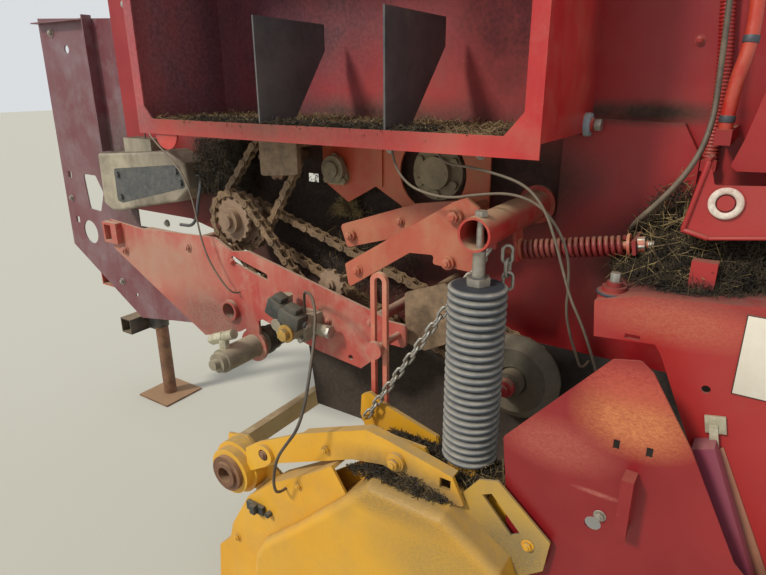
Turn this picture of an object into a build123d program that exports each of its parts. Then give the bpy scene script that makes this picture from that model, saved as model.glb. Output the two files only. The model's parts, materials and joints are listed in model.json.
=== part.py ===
from build123d import *
from math import atan2, cos, degrees, hypot, pi, radians, sin, tan
import os

os.makedirs("parts", exist_ok=True)

# Front left corner of a round baler with the pickup drive, in millimetres.
# X runs rearward, Y inboard, Z up. The origin is on the inboard end of the
# main beam, where the corner is cut from the rest of the machine.

# Side planes, as Y of each sheet's outer face
CUT_Y = 0.0
WALL_Y = -480.0
WALL_T = 5.0
LOW_WALL_Y = -535.0
LOW_WALL_T = 6.0
CLEAR = 0.3
GROUND_Z = -620.0

# Frame tubes
BEAM = 120.0
BEAM_WALL = 8.0
CROSS = 80.0
CROSS_WALL = 5.0
CROSS_PLACES = [(-760.0, 0.0), (-1100.0, 1180.0), (-2060.0, 60.0)]
FLANGE, FLANGE_T, FLANGE_PITCH, FLANGE_HOLE_R = 190.0, 12.0, 155.0, 8.5
CROSS_TUBE_X, CROSS_TUBE_Z, CROSS_TUBE = -2255.0, -260.0, 70.0
TOP_Z = 1300.0
REAR_X = 170.0

# Front panel
PANEL_REAR_X = -1790.0
PANEL_TOP_Z = 1006.0
PANEL_LIP = 28.0

# Twine box
BOX_X0 = -1288.0
BOX_X1 = -234.0
BOX_DEPTH = 295.0
BOX_Z0 = 670.0
BOX_Z1 = 1290.0
BOX_T = 4.0
BOX_RAIL = 36.0
DIVIDER_T = 4.0

# Bracket that the red hose ends on, as x and outer y
HOSE_BRACKET, HOSE_BRACKET_Z, HOSE_TOP_Z = (2.0, 26.0, -628.0), 718.0, 1290.0

# Gear case
GEAR_Y0 = -565.0
GEAR_COVER_T = 8.0
GEAR_IN = (-1620.0, 490.0, 60.0)

# Chain drive: pitch radius, teeth and plane of each wheel
PITCH = 31.75
LINK_H = 22.0
LINK_W = 18.0
LINK_PLATE = 3.0
WHEEL_T = 12.0
DRIVE_X = -1130.0
DRIVE_Z = 433.0
DRIVE_SHAFT_R = 20.0
UPPER_CHAIN_Y = -594.0
FRONT_CHAIN_Y = -632.0
MAIN_CHAIN_Y = -556.0
DRIVE_R_UPPER = 86.0
DRIVE_R_FRONT = 75.0
DRIVE_R_MAIN = 42.0
UPPER_X, UPPER_Z, UPPER_R = -994.0, 608.0, 72.0
LOWER_X, LOWER_Z, LOWER_R = -879.0, 221.0, 38.0
DISC_X, DISC_Z, DISC_R = -312.0, 165.0, 70.0
DISC_FLANGE_R = 100.0
WHEEL_SHAFT_R = 16.0
IDLER_X, IDLER_Z, IDLER_R, IDLER_Y = -795.0, 309.0, 42.0, -632.0
IDLER_STUB_R = 8.0

# Lower frame plate
LOWER_Y = -670.0
LOWER_T = 8.0
SLEEVE_X, SLEEVE_Z, SLEEVE_R, SLEEVE_WALL = -1130.0, 180.0, 30.0, 7.0

# Upper plate with the roll bearings
UPPER_Y = -520.0
UPPER_T = 6.0

# Lift tube and its parts
TUBE_X, TUBE_Z, TUBE_R, TUBE_WALL = -330.0, 537.0, 31.75, 4.5
TUBE_Y0 = -810.0
ARM_Y = -700.0
ARM_T = 10.0
BOOT_X, BOOT_Y, BOOT_R = -326.0, -790.0, 57.0
BOOT_TOP, BOOT_BOTTOM, BOOT_RIBS = 441.0, 72.0, 24
HANGER_R, HANGER_SLEEVE_R, HANGER_HEAD, HANGER_NUT = 7.0, 12.0, 9.0, 14.0

# Slotted link
LINK_X, LINK_PIN_Z, LINK_TOP_Z, LINK_SLOT_W = -573.0, 78.0, 409.0, 20.0
LINK_BAR_W, LINK_BAR_T, LINK_Y = 42.0, 10.0, -752.0
LINK_PIN_R = 8.0
BOLT_Z = 235.0
CYL_X, CYL_Z, CYL_R = -1054.0, 87.0, 33.0

# Welded lift chain, from the pickup's tab to the lift tube
CHAIN_FOOT = Vector(-585, -787, 72)
CHAIN_TOP = Vector(-334, -722, 492)
CHAIN_PITCH, CHAIN_LINK, CHAIN_WIDE, CHAIN_WIRE, CHAIN_BORE = 20.0, 29.0, 19.0, 5.0, 8.5
CHAIN_TURN = 0.0

# Sprung rod under the lift tube
SPRING_START = Vector(-300, -650, 478)
SPRING_END = Vector(-104, -640, 512)
SPRING_R, SPRING_TURNS, SPRING_R_BAR, SPRING_SEAT = 20.0, 17, 8.0, 6.0
SPRING_WASHER = 5.0

# Pickup
TAB_Y, TAB_T = -766.0, 10.0
PIVOT_X, PIVOT_Z, PIVOT_R = -130.0, 40.0, 20.0
HUB_X, HUB_Z, HUB_R, HUB_BORE = -940.0, -151.0, 48.0, 21.0
SIDE_Y = -836.0
SIDE_T = 8.0
ARM_OUT, PICK_T, HUB_OUT, PLATE_OUT, COVER_OUT = 44.0, 8.0, 35.0, 64.0, 94.0
PICK_Y = SIDE_Y - ARM_OUT
HUB_Y = PICK_Y - HUB_OUT
FRONT_PLATE_Y = SIDE_Y - PLATE_OUT
INNER_Y = -60.0
COVER_Y = SIDE_Y - COVER_OUT
BAR_X, BAR_Z, BAR_W, BAR_H = HUB_X - HUB_R, HUB_Z + 13.0, 24.0, 53.0
REEL_X, REEL_Z, REEL_R, REEL_SHAFT_R = -690.0, -400.0, 110.0, 25.0
TINE_R, TINE_WIRE = 175.0, 5.0
TINE_BARS, TINE_STEP = 4, 66.0
STRIPPER_R, STRIPPER_W, STRIPPERS = REEL_R + 30, 46.0, 10

# Door, the lower side shield
DOOR_Y = -850.0
DOOR_T = 4.0
HINGE_X = 205.0
HINGE_R = 9.0
HINGE_Z0, HINGE_Z1 = -120.0, 40.0
FRAME_Y = -760.0
FRAME_T = 6.0

# Jack
JACK_X, JACK_Y, JACK_R, JACK_WALL = -2150.0, -200.0, 28.5, 5.0
JACK_FOOT = 200.0
JACK_FOOT_T = 8.0


def outline(points, radius=0.0):
    """Closed outline in the side plane, as (x, z), with all corners rounded."""
    face = make_face(Polyline(*points, close=True))
    return fillet(face.vertices(), radius) if radius else face


def sheet(face, y, thick):
    """Plate from a side outline, outer face at y, going inboard."""
    return Pos(0, y + thick, 0) * extrude(Plane.XZ * face, amount=thick)


def block(x0, x1, y0, y1, z0, z1):
    return Pos((x0 + x1) / 2, (y0 + y1) / 2, (z0 + z1) / 2) * Box(x1 - x0, y1 - y0, z1 - z0)


def rod(x, z, r, y0, y1):
    """Round bar across the machine."""
    return Pos(x, (y0 + y1) / 2, z) * Rot(90, 0, 0) * Cylinder(r, y1 - y0)


def tube(x, z, r, wall, y0, y1):
    return rod(x, z, r, y0, y1) - rod(x, z, r - wall, y0 - 1, y1 + 1)


def post(x, y, r, z0, z1):
    """Upright round bar."""
    return Pos(x, y, (z0 + z1) / 2) * Cylinder(r, z1 - z0)


def box_tube(x, z, size, wall, y0, y1):
    outer = block(x - size / 2, x + size / 2, y0, y1, z - size / 2, z + size / 2)
    inner = size / 2 - wall
    return outer - block(x - inner, x + inner, y0 - 1, y1 + 1, z - inner, z + inner)


def join(*solids):
    whole = solids[0]
    for solid in solids[1:]:
        whole = whole + solid
    return whole


def bolt_head(x, z, size, y, height):
    """Hexagon head standing outward from a side face at y."""
    return Pos(0, y, 0) * extrude(Plane.XZ * Pos(x, z) * RegularPolygon(size / 2, 6), amount=height)


# Main side wall with its raised panel

def make_side_wall():
    face = outline([
        (PANEL_REAR_X, TOP_Z), (REAR_X, TOP_Z), (REAR_X, -130), (-930, -130), (-930, 100),
        (-1300, 320), (-1500, 362), (PANEL_REAR_X, 362),
    ])
    wall = sheet(face, WALL_Y, WALL_T)
    wall -= block(-988, -950, WALL_Y - 1, WALL_Y + WALL_T + 1, 529, 553)
    raised = outline([
        (-280, 690), (-232, 690), (-226, 722), (-60, 718), (-26, 660), (-26, 590), (-110, 505),
        (-200, 470), (-280, 470),
    ], 5)
    wall += sheet(raised, WALL_Y - 26, 26)
    back = WALL_Y + WALL_T
    rail = block(PANEL_REAR_X, REAR_X, back, back + 60, TOP_Z - 60, TOP_Z)
    rail -= block(PANEL_REAR_X - 1, REAR_X + 1, back + 5, back + 61, TOP_Z - 55, TOP_Z - 5)
    rear = block(REAR_X - 6, REAR_X, back, back + 60, -130, TOP_Z - 60)
    reach = WALL_Y - SPRING_END.Y + 2
    bracket = along(SPRING_END, SPRING_END * 2 - SPRING_START)
    bracket = bracket * Pos((reach - 24) / 2, 0, 8 + SPRING_WASHER) * Box(reach + 24, 26, 6)
    bracket -= spring_bar(SPRING_R_BAR + CLEAR)
    bracket += block(*HOSE_BRACKET, WALL_Y, HOSE_BRACKET_Z - 24, HOSE_BRACKET_Z)
    bracket += block(-64, 44, WALL_Y - 104, WALL_Y, HOSE_TOP_Z, HOSE_TOP_Z + 6)
    bracket += block(-24, 2, WALL_Y - 26, WALL_Y, 635, 655)
    return wall + rail + rear + bracket - pivot_hole(WALL_Y, WALL_T)


def pivot_hole(y, thick):
    return rod(PIVOT_X, PIVOT_Z, PIVOT_R + CLEAR, y - 1, y + thick + 1)


def make_low_wall():
    """Lower wall, stood off the main one, that carries the disc wheel."""
    face = outline([
        (-944, -130), (-970, 79), (-970, 104), (-640, 140), (-560, 232), (REAR_X, 232),
        (REAR_X, -130),
    ])
    wall = sheet(face, LOW_WALL_Y, LOW_WALL_T)
    for x, z in [(-900, 20), (-420, 200), (100, 200), (100, -90)]:
        wall += rod(x, z, 14, LOW_WALL_Y + LOW_WALL_T, WALL_Y)
    return wall - pivot_hole(LOW_WALL_Y, LOW_WALL_T)


def make_cross_beams():
    """Cross members from the side wall to the cut plane."""
    back = WALL_Y + WALL_T
    main = box_tube(0, 0, BEAM, BEAM_WALL, back, CUT_Y)
    main += block(-FLANGE / 2, FLANGE / 2, CUT_Y - FLANGE_T, CUT_Y, -FLANGE / 2, FLANGE / 2)
    for x in (-FLANGE_PITCH / 2, FLANGE_PITCH / 2):
        for z in (-FLANGE_PITCH / 2, FLANGE_PITCH / 2):
            main -= rod(x, z, FLANGE_HOLE_R, CUT_Y - FLANGE_T - 1, CUT_Y + 1)
    beams = [main]
    for x, z in CROSS_PLACES:
        beams.append(box_tube(x, z, CROSS, CROSS_WALL, back, CUT_Y))
    return Compound(beams)


def make_driveline_housing():
    x, z, r = GEAR_IN
    return tube(x, z, r, 6, WALL_Y + WALL_T, CUT_Y)


# Front panel

def make_front_panel():
    face = outline([
        (-2224, PANEL_TOP_Z), (PANEL_REAR_X, 985), (PANEL_REAR_X, 300), (-1560, 300),
        (-1560, -25), (-1675, -42), (-1859, -72), (-2248, 169),
    ])
    plate = sheet(face, WALL_Y, WALL_T)
    for x, z, r in [(-2070, 899, 14), (-2112, 235, 46), (-1871, 20, 8)]:
        plate -= rod(x, z, r, WALL_Y - 1, WALL_Y + WALL_T + 1)
    for x, z in [(-2192, 453), (-2189, 276)]:
        plate -= block(x - 12, x + 12, WALL_Y - 1, WALL_Y + WALL_T + 1, z - 12, z + 12)
    window = outline([(-2100, 462), (-2020, 462), (-1985, 400), (-2020, 326), (-2090, 330)], 12)
    plate -= sheet(window, WALL_Y - 1, WALL_T + 2)
    lip = block(-2224, -1900, WALL_Y - PANEL_LIP, WALL_Y, 986, 990)
    flange = block(-1900, -1895, WALL_Y - 34, WALL_Y, 560, 1000)
    edge = sheet(outline([(-2224, 1000), (-2218, 1000), (-2242, 172), (-2248, 169)]), WALL_Y, PANEL_LIP)
    return join(plate, lip, flange, edge)


# Twine box

def make_twine_box():
    y0 = WALL_Y - BOX_DEPTH
    x0, x1, z0, z1 = BOX_X0, BOX_X1, BOX_Z0, BOX_Z1
    shell = block(x0, x1, y0, WALL_Y, z0 + BOX_RAIL - 10, z1)
    shell -= block(x0 + BOX_T, x1 - BOX_T, y0 - 1, WALL_Y - BOX_T, z0 + BOX_RAIL - 10 + BOX_T, z1 - BOX_T)
    rail = 30.0
    frame = outline([(x0, z0), (x1, z0), (x1, z1), (x0, z1)])
    opening = outline([
        (x0 + rail + 26, z0 + BOX_RAIL), (x1 - rail - 34, z0 + BOX_RAIL), (x1 - rail, z0 + BOX_RAIL + 40),
        (x1 - rail, z1 - rail), (x0 + rail, z1 - rail), (x0 + rail, z0 + BOX_RAIL + 30),
    ], 8)
    shell += rod(x0 + 97, z0 + 5, 42, y0, y0 + 6) - block(x0, x1, y0 - 1, y0 + 7, z0 + 6, z0 + 60)
    bumper = Pos(x1, WALL_Y - 50, z0 + 42) * Rot(0, 90, 0)
    for r, low, high in [(22, 0, 9), (13, 9, 19), (8, 19, 32)]:
        shell += bumper * Pos(0, 0, (low + high) / 2) * Cylinder(r, high - low)
    return shell + (sheet(frame, y0 - 4, 4) - sheet(opening, y0 - 5, 6))


def make_dividers():
    plates = []
    floor = BOX_Z0 + BOX_RAIL - 10 + BOX_T
    y0 = WALL_Y - BOX_DEPTH + 4
    for x, slope_y in [(-870.0, -661.0), (-543.0, -682.0)]:
        side = make_face(Polyline(
            (y0, floor), (slope_y, floor), (WALL_Y - 56, 862), (WALL_Y - 56, 920), (y0, 924), close=True))
        foot = block(x - DIVIDER_T / 2, x + 20, y0 + 6, slope_y - 6, floor, floor + DIVIDER_T)
        plates.append(Pos(x - DIVIDER_T / 2, 0, 0) * extrude(Plane.YZ * side, amount=DIVIDER_T) + foot)
    return Compound(plates)


# Gear case with its cover

GEAR_FACE = [
    (-1846, 563), (-1480, 592), (-1400, 560), (-1392, 483), (-1454, 436), (-1768, 374), (-1812, 371),
    (-1852, 392),
]
GEAR_COVER = [(-1763, 517), (-1480, 548), (-1425, 552), (-1404, 486), (-1740, 404), (-1767, 410)]


def make_gear_case():
    body = sheet(outline(GEAR_FACE, 10), GEAR_Y0, WALL_Y - GEAR_Y0)
    body = fillet(body.faces().sort_by(Axis.Y)[0].edges(), 9)
    recess = offset(outline(GEAR_COVER, 9), CLEAR)
    body -= sheet(recess, GEAR_Y0 - 1, GEAR_COVER_T + 1)
    cap = block(-1698, -1560, GEAR_Y0 + 8, WALL_Y - 20, 560, 621)
    return body + cap


def make_gear_cover():
    cover = sheet(outline(GEAR_COVER, 9), GEAR_Y0, GEAR_COVER_T)
    for x, z in [(-1744, 500), (-1740, 426), (-1440, 534), (-1424, 500)]:
        cover += bolt_head(x, z, 20, GEAR_Y0, 8)
    return cover


# Chain wheels

def wheel(x, z, pitch_r, y):
    """Toothed wheel: a short tooth for each link, inside the chain's path."""
    tip = (pitch_r ** 2 - PITCH ** 2 / 4) ** 0.5 - LINK_H / 2 - 0.6
    teeth = max(8, round(2 * pi * pitch_r / PITCH))
    points = []
    for i in range(teeth):
        for share, r in [(0.0, tip), (0.3, tip), (0.5, tip - 6), (0.8, tip - 6)]:
            a = radians(360 * (i + share) / teeth)
            points.append((x + r * cos(a), z + r * sin(a)))
    return sheet(outline(points), y - WHEEL_T / 2, WHEEL_T)


def make_drive_wheels():
    x, z = DRIVE_X, DRIVE_Z
    body = rod(x, z, DRIVE_SHAFT_R, -668, WALL_Y - CLEAR)
    body += rod(x, z, 34, -656, UPPER_CHAIN_Y + 15)
    body += rod(x, z, 25, UPPER_CHAIN_Y + 15, WALL_Y - 20)
    for pitch_r, y in [
            (DRIVE_R_UPPER, UPPER_CHAIN_Y), (DRIVE_R_FRONT, FRONT_CHAIN_Y), (DRIVE_R_MAIN, MAIN_CHAIN_Y)]:
        body += wheel(x, z, pitch_r, y)
    return body


def make_stub_wheel(x, z, pitch_r, y, stub_r):
    """Chain wheel with its boss, turning on a stub that ends at the side wall."""
    body = wheel(x, z, pitch_r, y) + rod(x, z, stub_r + 6, y - 14, y + 14)
    return body + rod(x, z, stub_r, y - 20, WALL_Y - CLEAR)


def turned(points):
    """Turned solid about the local Z axis, from (radius, height) points."""
    return revolve(Plane.XZ * make_face(Polyline(*points, close=True)), axis=Axis.Z)


def pleated(rings, sides):
    """Solid of flat facets through rings, each (radius, height)."""
    turns = [radians(360 * i / sides) for i in range(sides)]
    loops = [[Vector(r * cos(turn), r * sin(turn), z) for turn in turns] for r, z in rings]
    faces = [make_face(Polyline(*loops[0], close=True)), make_face(Polyline(*loops[-1], close=True))]
    for low, high in zip(loops, loops[1:]):
        for i in range(sides):
            j = (i + 1) % sides
            faces.append(Face(Wire.make_polygon([low[i], low[j], high[j], high[i]])))
    return Part(Solid(Shell(faces)).wrapped)


def make_disc_wheel():
    """Dished wheel on the lower shaft, with its chain wheel behind and hub in front."""
    x, z, r = DISC_X, DISC_Z, DISC_FLANGE_R
    dish = turned([
        (0, 600), (26, 600), (34, 612), (r - 24, 612), (r, 590), (r, 582), (r - 26, 598), (40, 598),
        (40, 560), (0, 560)])
    body = Pos(x, 0, z) * Rot(90, 0, 0) * dish
    body += wheel(x, z, DISC_R, MAIN_CHAIN_Y)
    body += rod(x, z, 30, -640, -598) + rod(x, z, 18, -652, -640)
    return body + rod(x, z, WHEEL_SHAFT_R, -600, LOW_WALL_Y - CLEAR)


# Chains

def chain_loop(x1, z1, r1, x2, z2, r2, y):
    """Chain round two wheels: inner blocks and outer plate pairs, a hair apart."""
    dx, dz = x2 - x1, z2 - z1
    dist = hypot(dx, dz)
    axis = atan2(dz, dx)
    lean = atan2(r1 - r2, (dist ** 2 - (r1 - r2) ** 2) ** 0.5)
    up, down = axis + radians(90) - lean, axis - radians(90) + lean
    run = (dist ** 2 - (r1 - r2) ** 2) ** 0.5
    arc1 = r1 * (radians(180) + 2 * lean)
    arc2 = r2 * (radians(180) - 2 * lean)
    total = 2 * run + arc1 + arc2
    count = 2 * round(total / PITCH / 2)
    step = total / count

    def at(s):
        s = s % total
        if s < run:
            t = s / run
            a, b = (x1 + r1 * cos(up), z1 + r1 * sin(up)), (x2 + r2 * cos(up), z2 + r2 * sin(up))
            return a[0] + t * (b[0] - a[0]), a[1] + t * (b[1] - a[1])
        s -= run
        if s < arc2:
            a = up - s / r2
            return x2 + r2 * cos(a), z2 + r2 * sin(a)
        s -= arc2
        if s < run:
            t = s / run
            a, b = (x2 + r2 * cos(down), z2 + r2 * sin(down)), (x1 + r1 * cos(down), z1 + r1 * sin(down))
            return a[0] + t * (b[0] - a[0]), a[1] + t * (b[1] - a[1])
        s -= run
        a = down - s / r1
        return x1 + r1 * cos(a), z1 + r1 * sin(a)

    links = []
    for i in range(count):
        a, b = at(i * step), at((i + 1) * step)
        links += link(a, b, y, i % 2)
    return Compound(links)


def link(a, b, y, outer):
    """One link between two pin centres: a block, or a pair of outside plates."""
    length, turn = hypot(b[0] - a[0], b[1] - a[1]), degrees(atan2(b[1] - a[1], b[0] - a[0]))
    over = 0.42 * LINK_H
    h = LINK_H / 2 * (0.9 if outer else 0.8)
    shape = Polyline((-over, 0), (-over / 2, h), (length + over / 2, h), (length + over, 0),
                     (length + over / 2, -h), (-over / 2, -h), close=True)
    face = Pos(a[0], a[1]) * Rot(0, 0, turn) * make_face(shape)
    if not outer:
        return [sheet(face, y - LINK_W / 2, LINK_W)]
    side = LINK_W / 2 + CLEAR
    return [sheet(face, y + side, LINK_PLATE), sheet(face, y - side - LINK_PLATE, LINK_PLATE)]


# Plates of the drive side

def make_upper_plate():
    """Plate that carries the upper roll bearings, with its round cut-out."""
    face = outline([
        (-900, 669), (-430, 669), (-430, 470), (-600, 452), (-661, 505), (-734, 544),
        (-820, 496), (-900, 545),
    ])
    plate = sheet(face, UPPER_Y, UPPER_T)
    plate -= rod(-575, 588, 88, UPPER_Y - 1, UPPER_Y + UPPER_T + 1)
    plate += block(-738, -712, UPPER_Y - 5, UPPER_Y, 545, 669)
    for x, z in [(-890, 640), (-445, 640), (-445, 485), (-690, 560)]:
        plate += rod(x, z, 12, UPPER_Y + UPPER_T, WALL_Y)
    return plate


def make_roll_bearings():
    """Round housing in the cut-out and the three-cornered flange beside it."""
    x, z = -575.0, 588.0
    hub = rod(x, z, 66, WALL_Y - 14, WALL_Y) + rod(x, z, 38, WALL_Y - 34, WALL_Y - 14)
    for a in range(30, 390, 60):
        hub += bolt_head(x + 52 * cos(radians(a)), z + 52 * sin(radians(a)), 22, WALL_Y - 14, 9)
    y = UPPER_Y
    flange = sheet(outline([(-851, 640), (-900, 540), (-802, 540)], 20), y - 12, 12)
    flange += rod(-851, 580, 34, y - 26, y - 12) + rod(-851, 580, 20, y - 34, y - 26)
    for x, z in [(-851, 612), (-878, 552), (-824, 552)]:
        flange += bolt_head(x, z, 18, y - 12, 7)
    return Compound([hub, flange])


def make_chain_cover():
    """Cast cover over the upper chain wheel."""
    face = outline([(-1000, 566), (-876, 578), (-876, 668), (-1000, 668)], 8)
    return sheet(face, -648, 14) + block(-890, -876, -634, UPPER_Y, 642, 662)


def make_lower_plate():
    """Slotted frame plate with its bush, the link's bolt and the cylinder's clamp."""
    face = outline([
        (-1664, 376), (-1512, 366), (-1174, 384), (-1110, 354), (-1048, 364), (-609, 269),
        (-609, 182), (-682, 118), (-816, 132), (-1013, 176), (-1104, 118), (-1258, 70), (-1661, 282),
    ])
    y, end = LOWER_Y, LOWER_Y + LOWER_T
    plate = sheet(face, y, LOWER_T)
    plate -= sheet(Pos(-1048, 318) * Rot(0, 0, -14) * SlotOverall(138, 18), y - 1, LOWER_T + 2)
    plate -= rod(-713, 140, 7, y - 1, end + 1)
    plate += block(-1500, -1240, y, y + 34, 358, 366)
    plate += block(-1676, -1606, y - 20, y, 306, 372) - block(-1668, -1634, y - 21, y - 4, 314, 364)
    plate += block(CYL_X - 26, CYL_X + 26, y, end, CYL_Z, CYL_Z + 90) + rod(CYL_X, CYL_Z, CYL_R + 15, y, end)
    plate -= rod(CYL_X, CYL_Z, CYL_R + CLEAR, y - 1, end + 1)
    plate += rod(SLEEVE_X, SLEEVE_Z, SLEEVE_R, y - 14, y + 60)
    plate -= rod(SLEEVE_X, SLEEVE_Z, SLEEVE_R - SLEEVE_WALL, y - 15, y + 61)
    plate += sheet(outline([(-640, 262), (-553, 262), (-553, 205), (-640, 205)], 10), y, LOWER_T)
    plate += (rod(LINK_X, BOLT_Z, LINK_PIN_R, LINK_Y - 12, y)
              + rod(LINK_X, BOLT_Z, 20, LINK_Y - 22, LINK_Y - 12))
    for x, z in [(-1600, 285), (-1290, 350), (-650, 250)]:
        plate += rod(x, z, 14, end, WALL_Y)
    return plate


# Tensioner arms on the lift tube

def make_tensioner_arm():
    face = outline([
        (-700, 395), (-430, 566), (-400, 578), (-372, 560), (-352, 500), (-363, 429),
        (-471, 432), (-468, 452), (-527, 448), (-690, 340),
    ], 6)
    arm = sheet(face, ARM_Y, ARM_T)
    arm -= rod(TUBE_X, TUBE_Z, TUBE_R + CLEAR, ARM_Y - 1, ARM_Y + ARM_T + 1)
    return arm + rod(-420, 540, 17, ARM_Y - 8, ARM_Y) + rod(-433, 442, 15, ARM_Y - 6, ARM_Y)


def make_rear_arm():
    face = outline([(-772, 462), (-560, 536), (-420, 560), (-420, 500), (-600, 455), (-752, 408)], 10)
    arm = sheet(face, -620, 10)
    arm += rod(-738, 441, 14, -628, -620)
    return arm + rod(-440, 530, 12, -610, UPPER_Y)


def make_lift_tube():
    """Round tube across the machine, with the ears under it."""
    body = tube(TUBE_X, TUBE_Z, TUBE_R, TUBE_WALL, TUBE_Y0, WALL_Y)
    body += tube(TUBE_X, TUBE_Z, TUBE_R + 10, 10, WALL_Y - 12, WALL_Y)
    ear = along(SPRING_START, SPRING_END) * Pos(0, 15, -3 - CLEAR) * Box(44, 70, 6)
    ear -= spring_bar(SPRING_R_BAR + CLEAR)
    chain_ear = block(
        CHAIN_TOP.X - 12, CHAIN_TOP.X + 12, CHAIN_TOP.Y - 4, CHAIN_TOP.Y + 4, CHAIN_TOP.Z, TUBE_Z - 25)
    body += ear + chain_ear - rod(TUBE_X, TUBE_Z, TUBE_R - 1, TUBE_Y0, WALL_Y)
    return body - post(BOOT_X, BOOT_Y, HANGER_R + CLEAR, TUBE_Z - 50, TUBE_Z + 50)


# Sprung rod beside the lift tube

def along(start, end):
    """Plane at start whose normal points to end."""
    return Plane(origin=start, x_dir=(0, 1, 0), z_dir=(end - start).normalized())


def spring_bar(r):
    length = (SPRING_END - SPRING_START).length
    return along(SPRING_START, SPRING_END) * Pos(0, 0, length / 2 + 2) * Cylinder(r, length + 64)


def make_spring():
    """Turns of the spring, each close to the next."""
    length = (SPRING_END - SPRING_START).length - SPRING_SEAT
    step = length / SPRING_TURNS
    rings = [(SPRING_R - 5, SPRING_SEAT)]
    for i in range(SPRING_TURNS):
        z = SPRING_SEAT + step * i
        rings += [(SPRING_R, z + step * 0.5), (SPRING_R - 5, z + step)]
    return along(SPRING_START, SPRING_END) * pleated(rings, 12) - spring_bar(SPRING_R_BAR + CLEAR)


def make_spring_rod():
    """Rod with its seats and nut; the seats close the spring at both ends."""
    base = along(SPRING_START, SPRING_END)
    length = (SPRING_END - SPRING_START).length
    shaft = spring_bar(SPRING_R_BAR)
    for z0, r, t in [
            (0, 22, SPRING_SEAT - CLEAR), (length + CLEAR, 22, SPRING_WASHER), (length + 17, 15, 12)]:
        shaft += base * Pos(0, 0, z0 + t / 2) * Cylinder(r, t)
    return shaft


# Boot, link and chain

def make_boot():
    """Pleated boot over the float spring."""
    step = (BOOT_TOP - BOOT_BOTTOM) / BOOT_RIBS
    rings = [(BOOT_R - 9, BOOT_BOTTOM)]
    for i in range(BOOT_RIBS):
        z = BOOT_BOTTOM + step * i
        rings += [(BOOT_R, z + step * 0.5), (BOOT_R - 9, z + step)]
    return Pos(BOOT_X, BOOT_Y, 0) * pleated(rings, 16)


def make_boot_hanger():
    """Long bolt through the lift tube, with the sleeve and nut that hold the boot."""
    x, y, crown = BOOT_X, BOOT_Y, TUBE_Z + TUBE_R
    bolt = post(x, y, HANGER_R, BOOT_TOP, crown + HANGER_HEAD)
    bolt += Pos(x, y, crown) * extrude(RegularPolygon(12, 6), amount=HANGER_HEAD)
    bolt += post(x, y, HANGER_SLEEVE_R, BOOT_TOP + HANGER_NUT, TUBE_Z - TUBE_R)
    return bolt + Pos(x, y, BOOT_TOP) * extrude(RegularPolygon(24, 6), amount=HANGER_NUT)


def make_slotted_link():
    low, high = LINK_PIN_Z - 21, LINK_TOP_Z
    rail = (LINK_BAR_W - LINK_SLOT_W) / 2
    slot_low = LINK_PIN_Z + LINK_PIN_R + rail
    bar = Pos(LINK_X, (low + high) / 2) * Rot(0, 0, 90) * SlotOverall(high - low, LINK_BAR_W)
    slot = Pos(LINK_X, (slot_low + high - rail) / 2) * Rot(0, 0, 90)
    bar -= slot * SlotOverall(high - rail - slot_low, LINK_SLOT_W)
    link = sheet(bar, LINK_Y, LINK_BAR_T)
    return link - rod(LINK_X, LINK_PIN_Z, LINK_PIN_R + 0.05, LINK_Y - 1, LINK_Y + LINK_BAR_T + 1)


def make_lift_chain():
    """Welded chain from the lift tube down to the pickup's tab."""
    span = CHAIN_TOP - CHAIN_FOOT
    count = 2 * round(span.length / CHAIN_PITCH / 2) + 1
    run = along(CHAIN_FOOT, CHAIN_TOP)
    step = (span.length - CHAIN_LINK + CHAIN_BORE) / count
    outer = (Polygon(*chain_ring(CHAIN_LINK, CHAIN_WIDE))
             - Polygon(*chain_ring(CHAIN_LINK - 2 * CHAIN_WIRE, CHAIN_BORE)))
    links = []
    for i in range(count):
        turn = Rot(0, 0, CHAIN_TURN + 90 * (i % 2)) * Rot(0, 90, 0)
        ring = extrude(outer, amount=CHAIN_WIRE / 2, both=True)
        links.append(run * Pos(0, 0, step * (i + 0.5) - CHAIN_BORE / 2) * turn * ring)
    return Compound(links)


def chain_ring(length, width):
    """Eight corners of a link's outline."""
    a, b, c = length / 2, width / 2, width / 4
    return [(a, c), (a - c, b), (c - a, b), (-a, c), (-a, -c), (c - a, -b), (a - c, -b), (a, -c)]


def make_tan_plate():
    """Bent guard plate between the link and the boot."""
    face = outline([(-575, 330), (-470, 372), (-455, 350), (-455, 232), (-520, 196), (-570, 205)], 10)
    return sheet(face, -640, 6) + rod(-520, 334, 10, -634, WALL_Y)


# Hydraulics below the lower plate

def make_cylinder():
    x, z, r = CYL_X, CYL_Z, CYL_R
    barrel = rod(x, z, r, -790, -560) + rod(x, z, r - 6, -806, -790) + rod(x, z, 14, -822, -806)
    return barrel + post(x - 6, -770, 10, z + 20, z + 52)


def make_valve_block():
    body = block(-900, -800, -735, LOWER_Y, 185, 245)
    body += rod(-870, 225, 16, -765, -735) + rod(-830, 215, 22, -775, -735)
    body += bolt_head(-830, 215, 30, -775, 14) + post(-885, -705, 16, 245, 285)
    return body + Pos(-780, -700, 210) * Rot(0, 90, 0) * Cylinder(15, 40)


# Pickup

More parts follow.
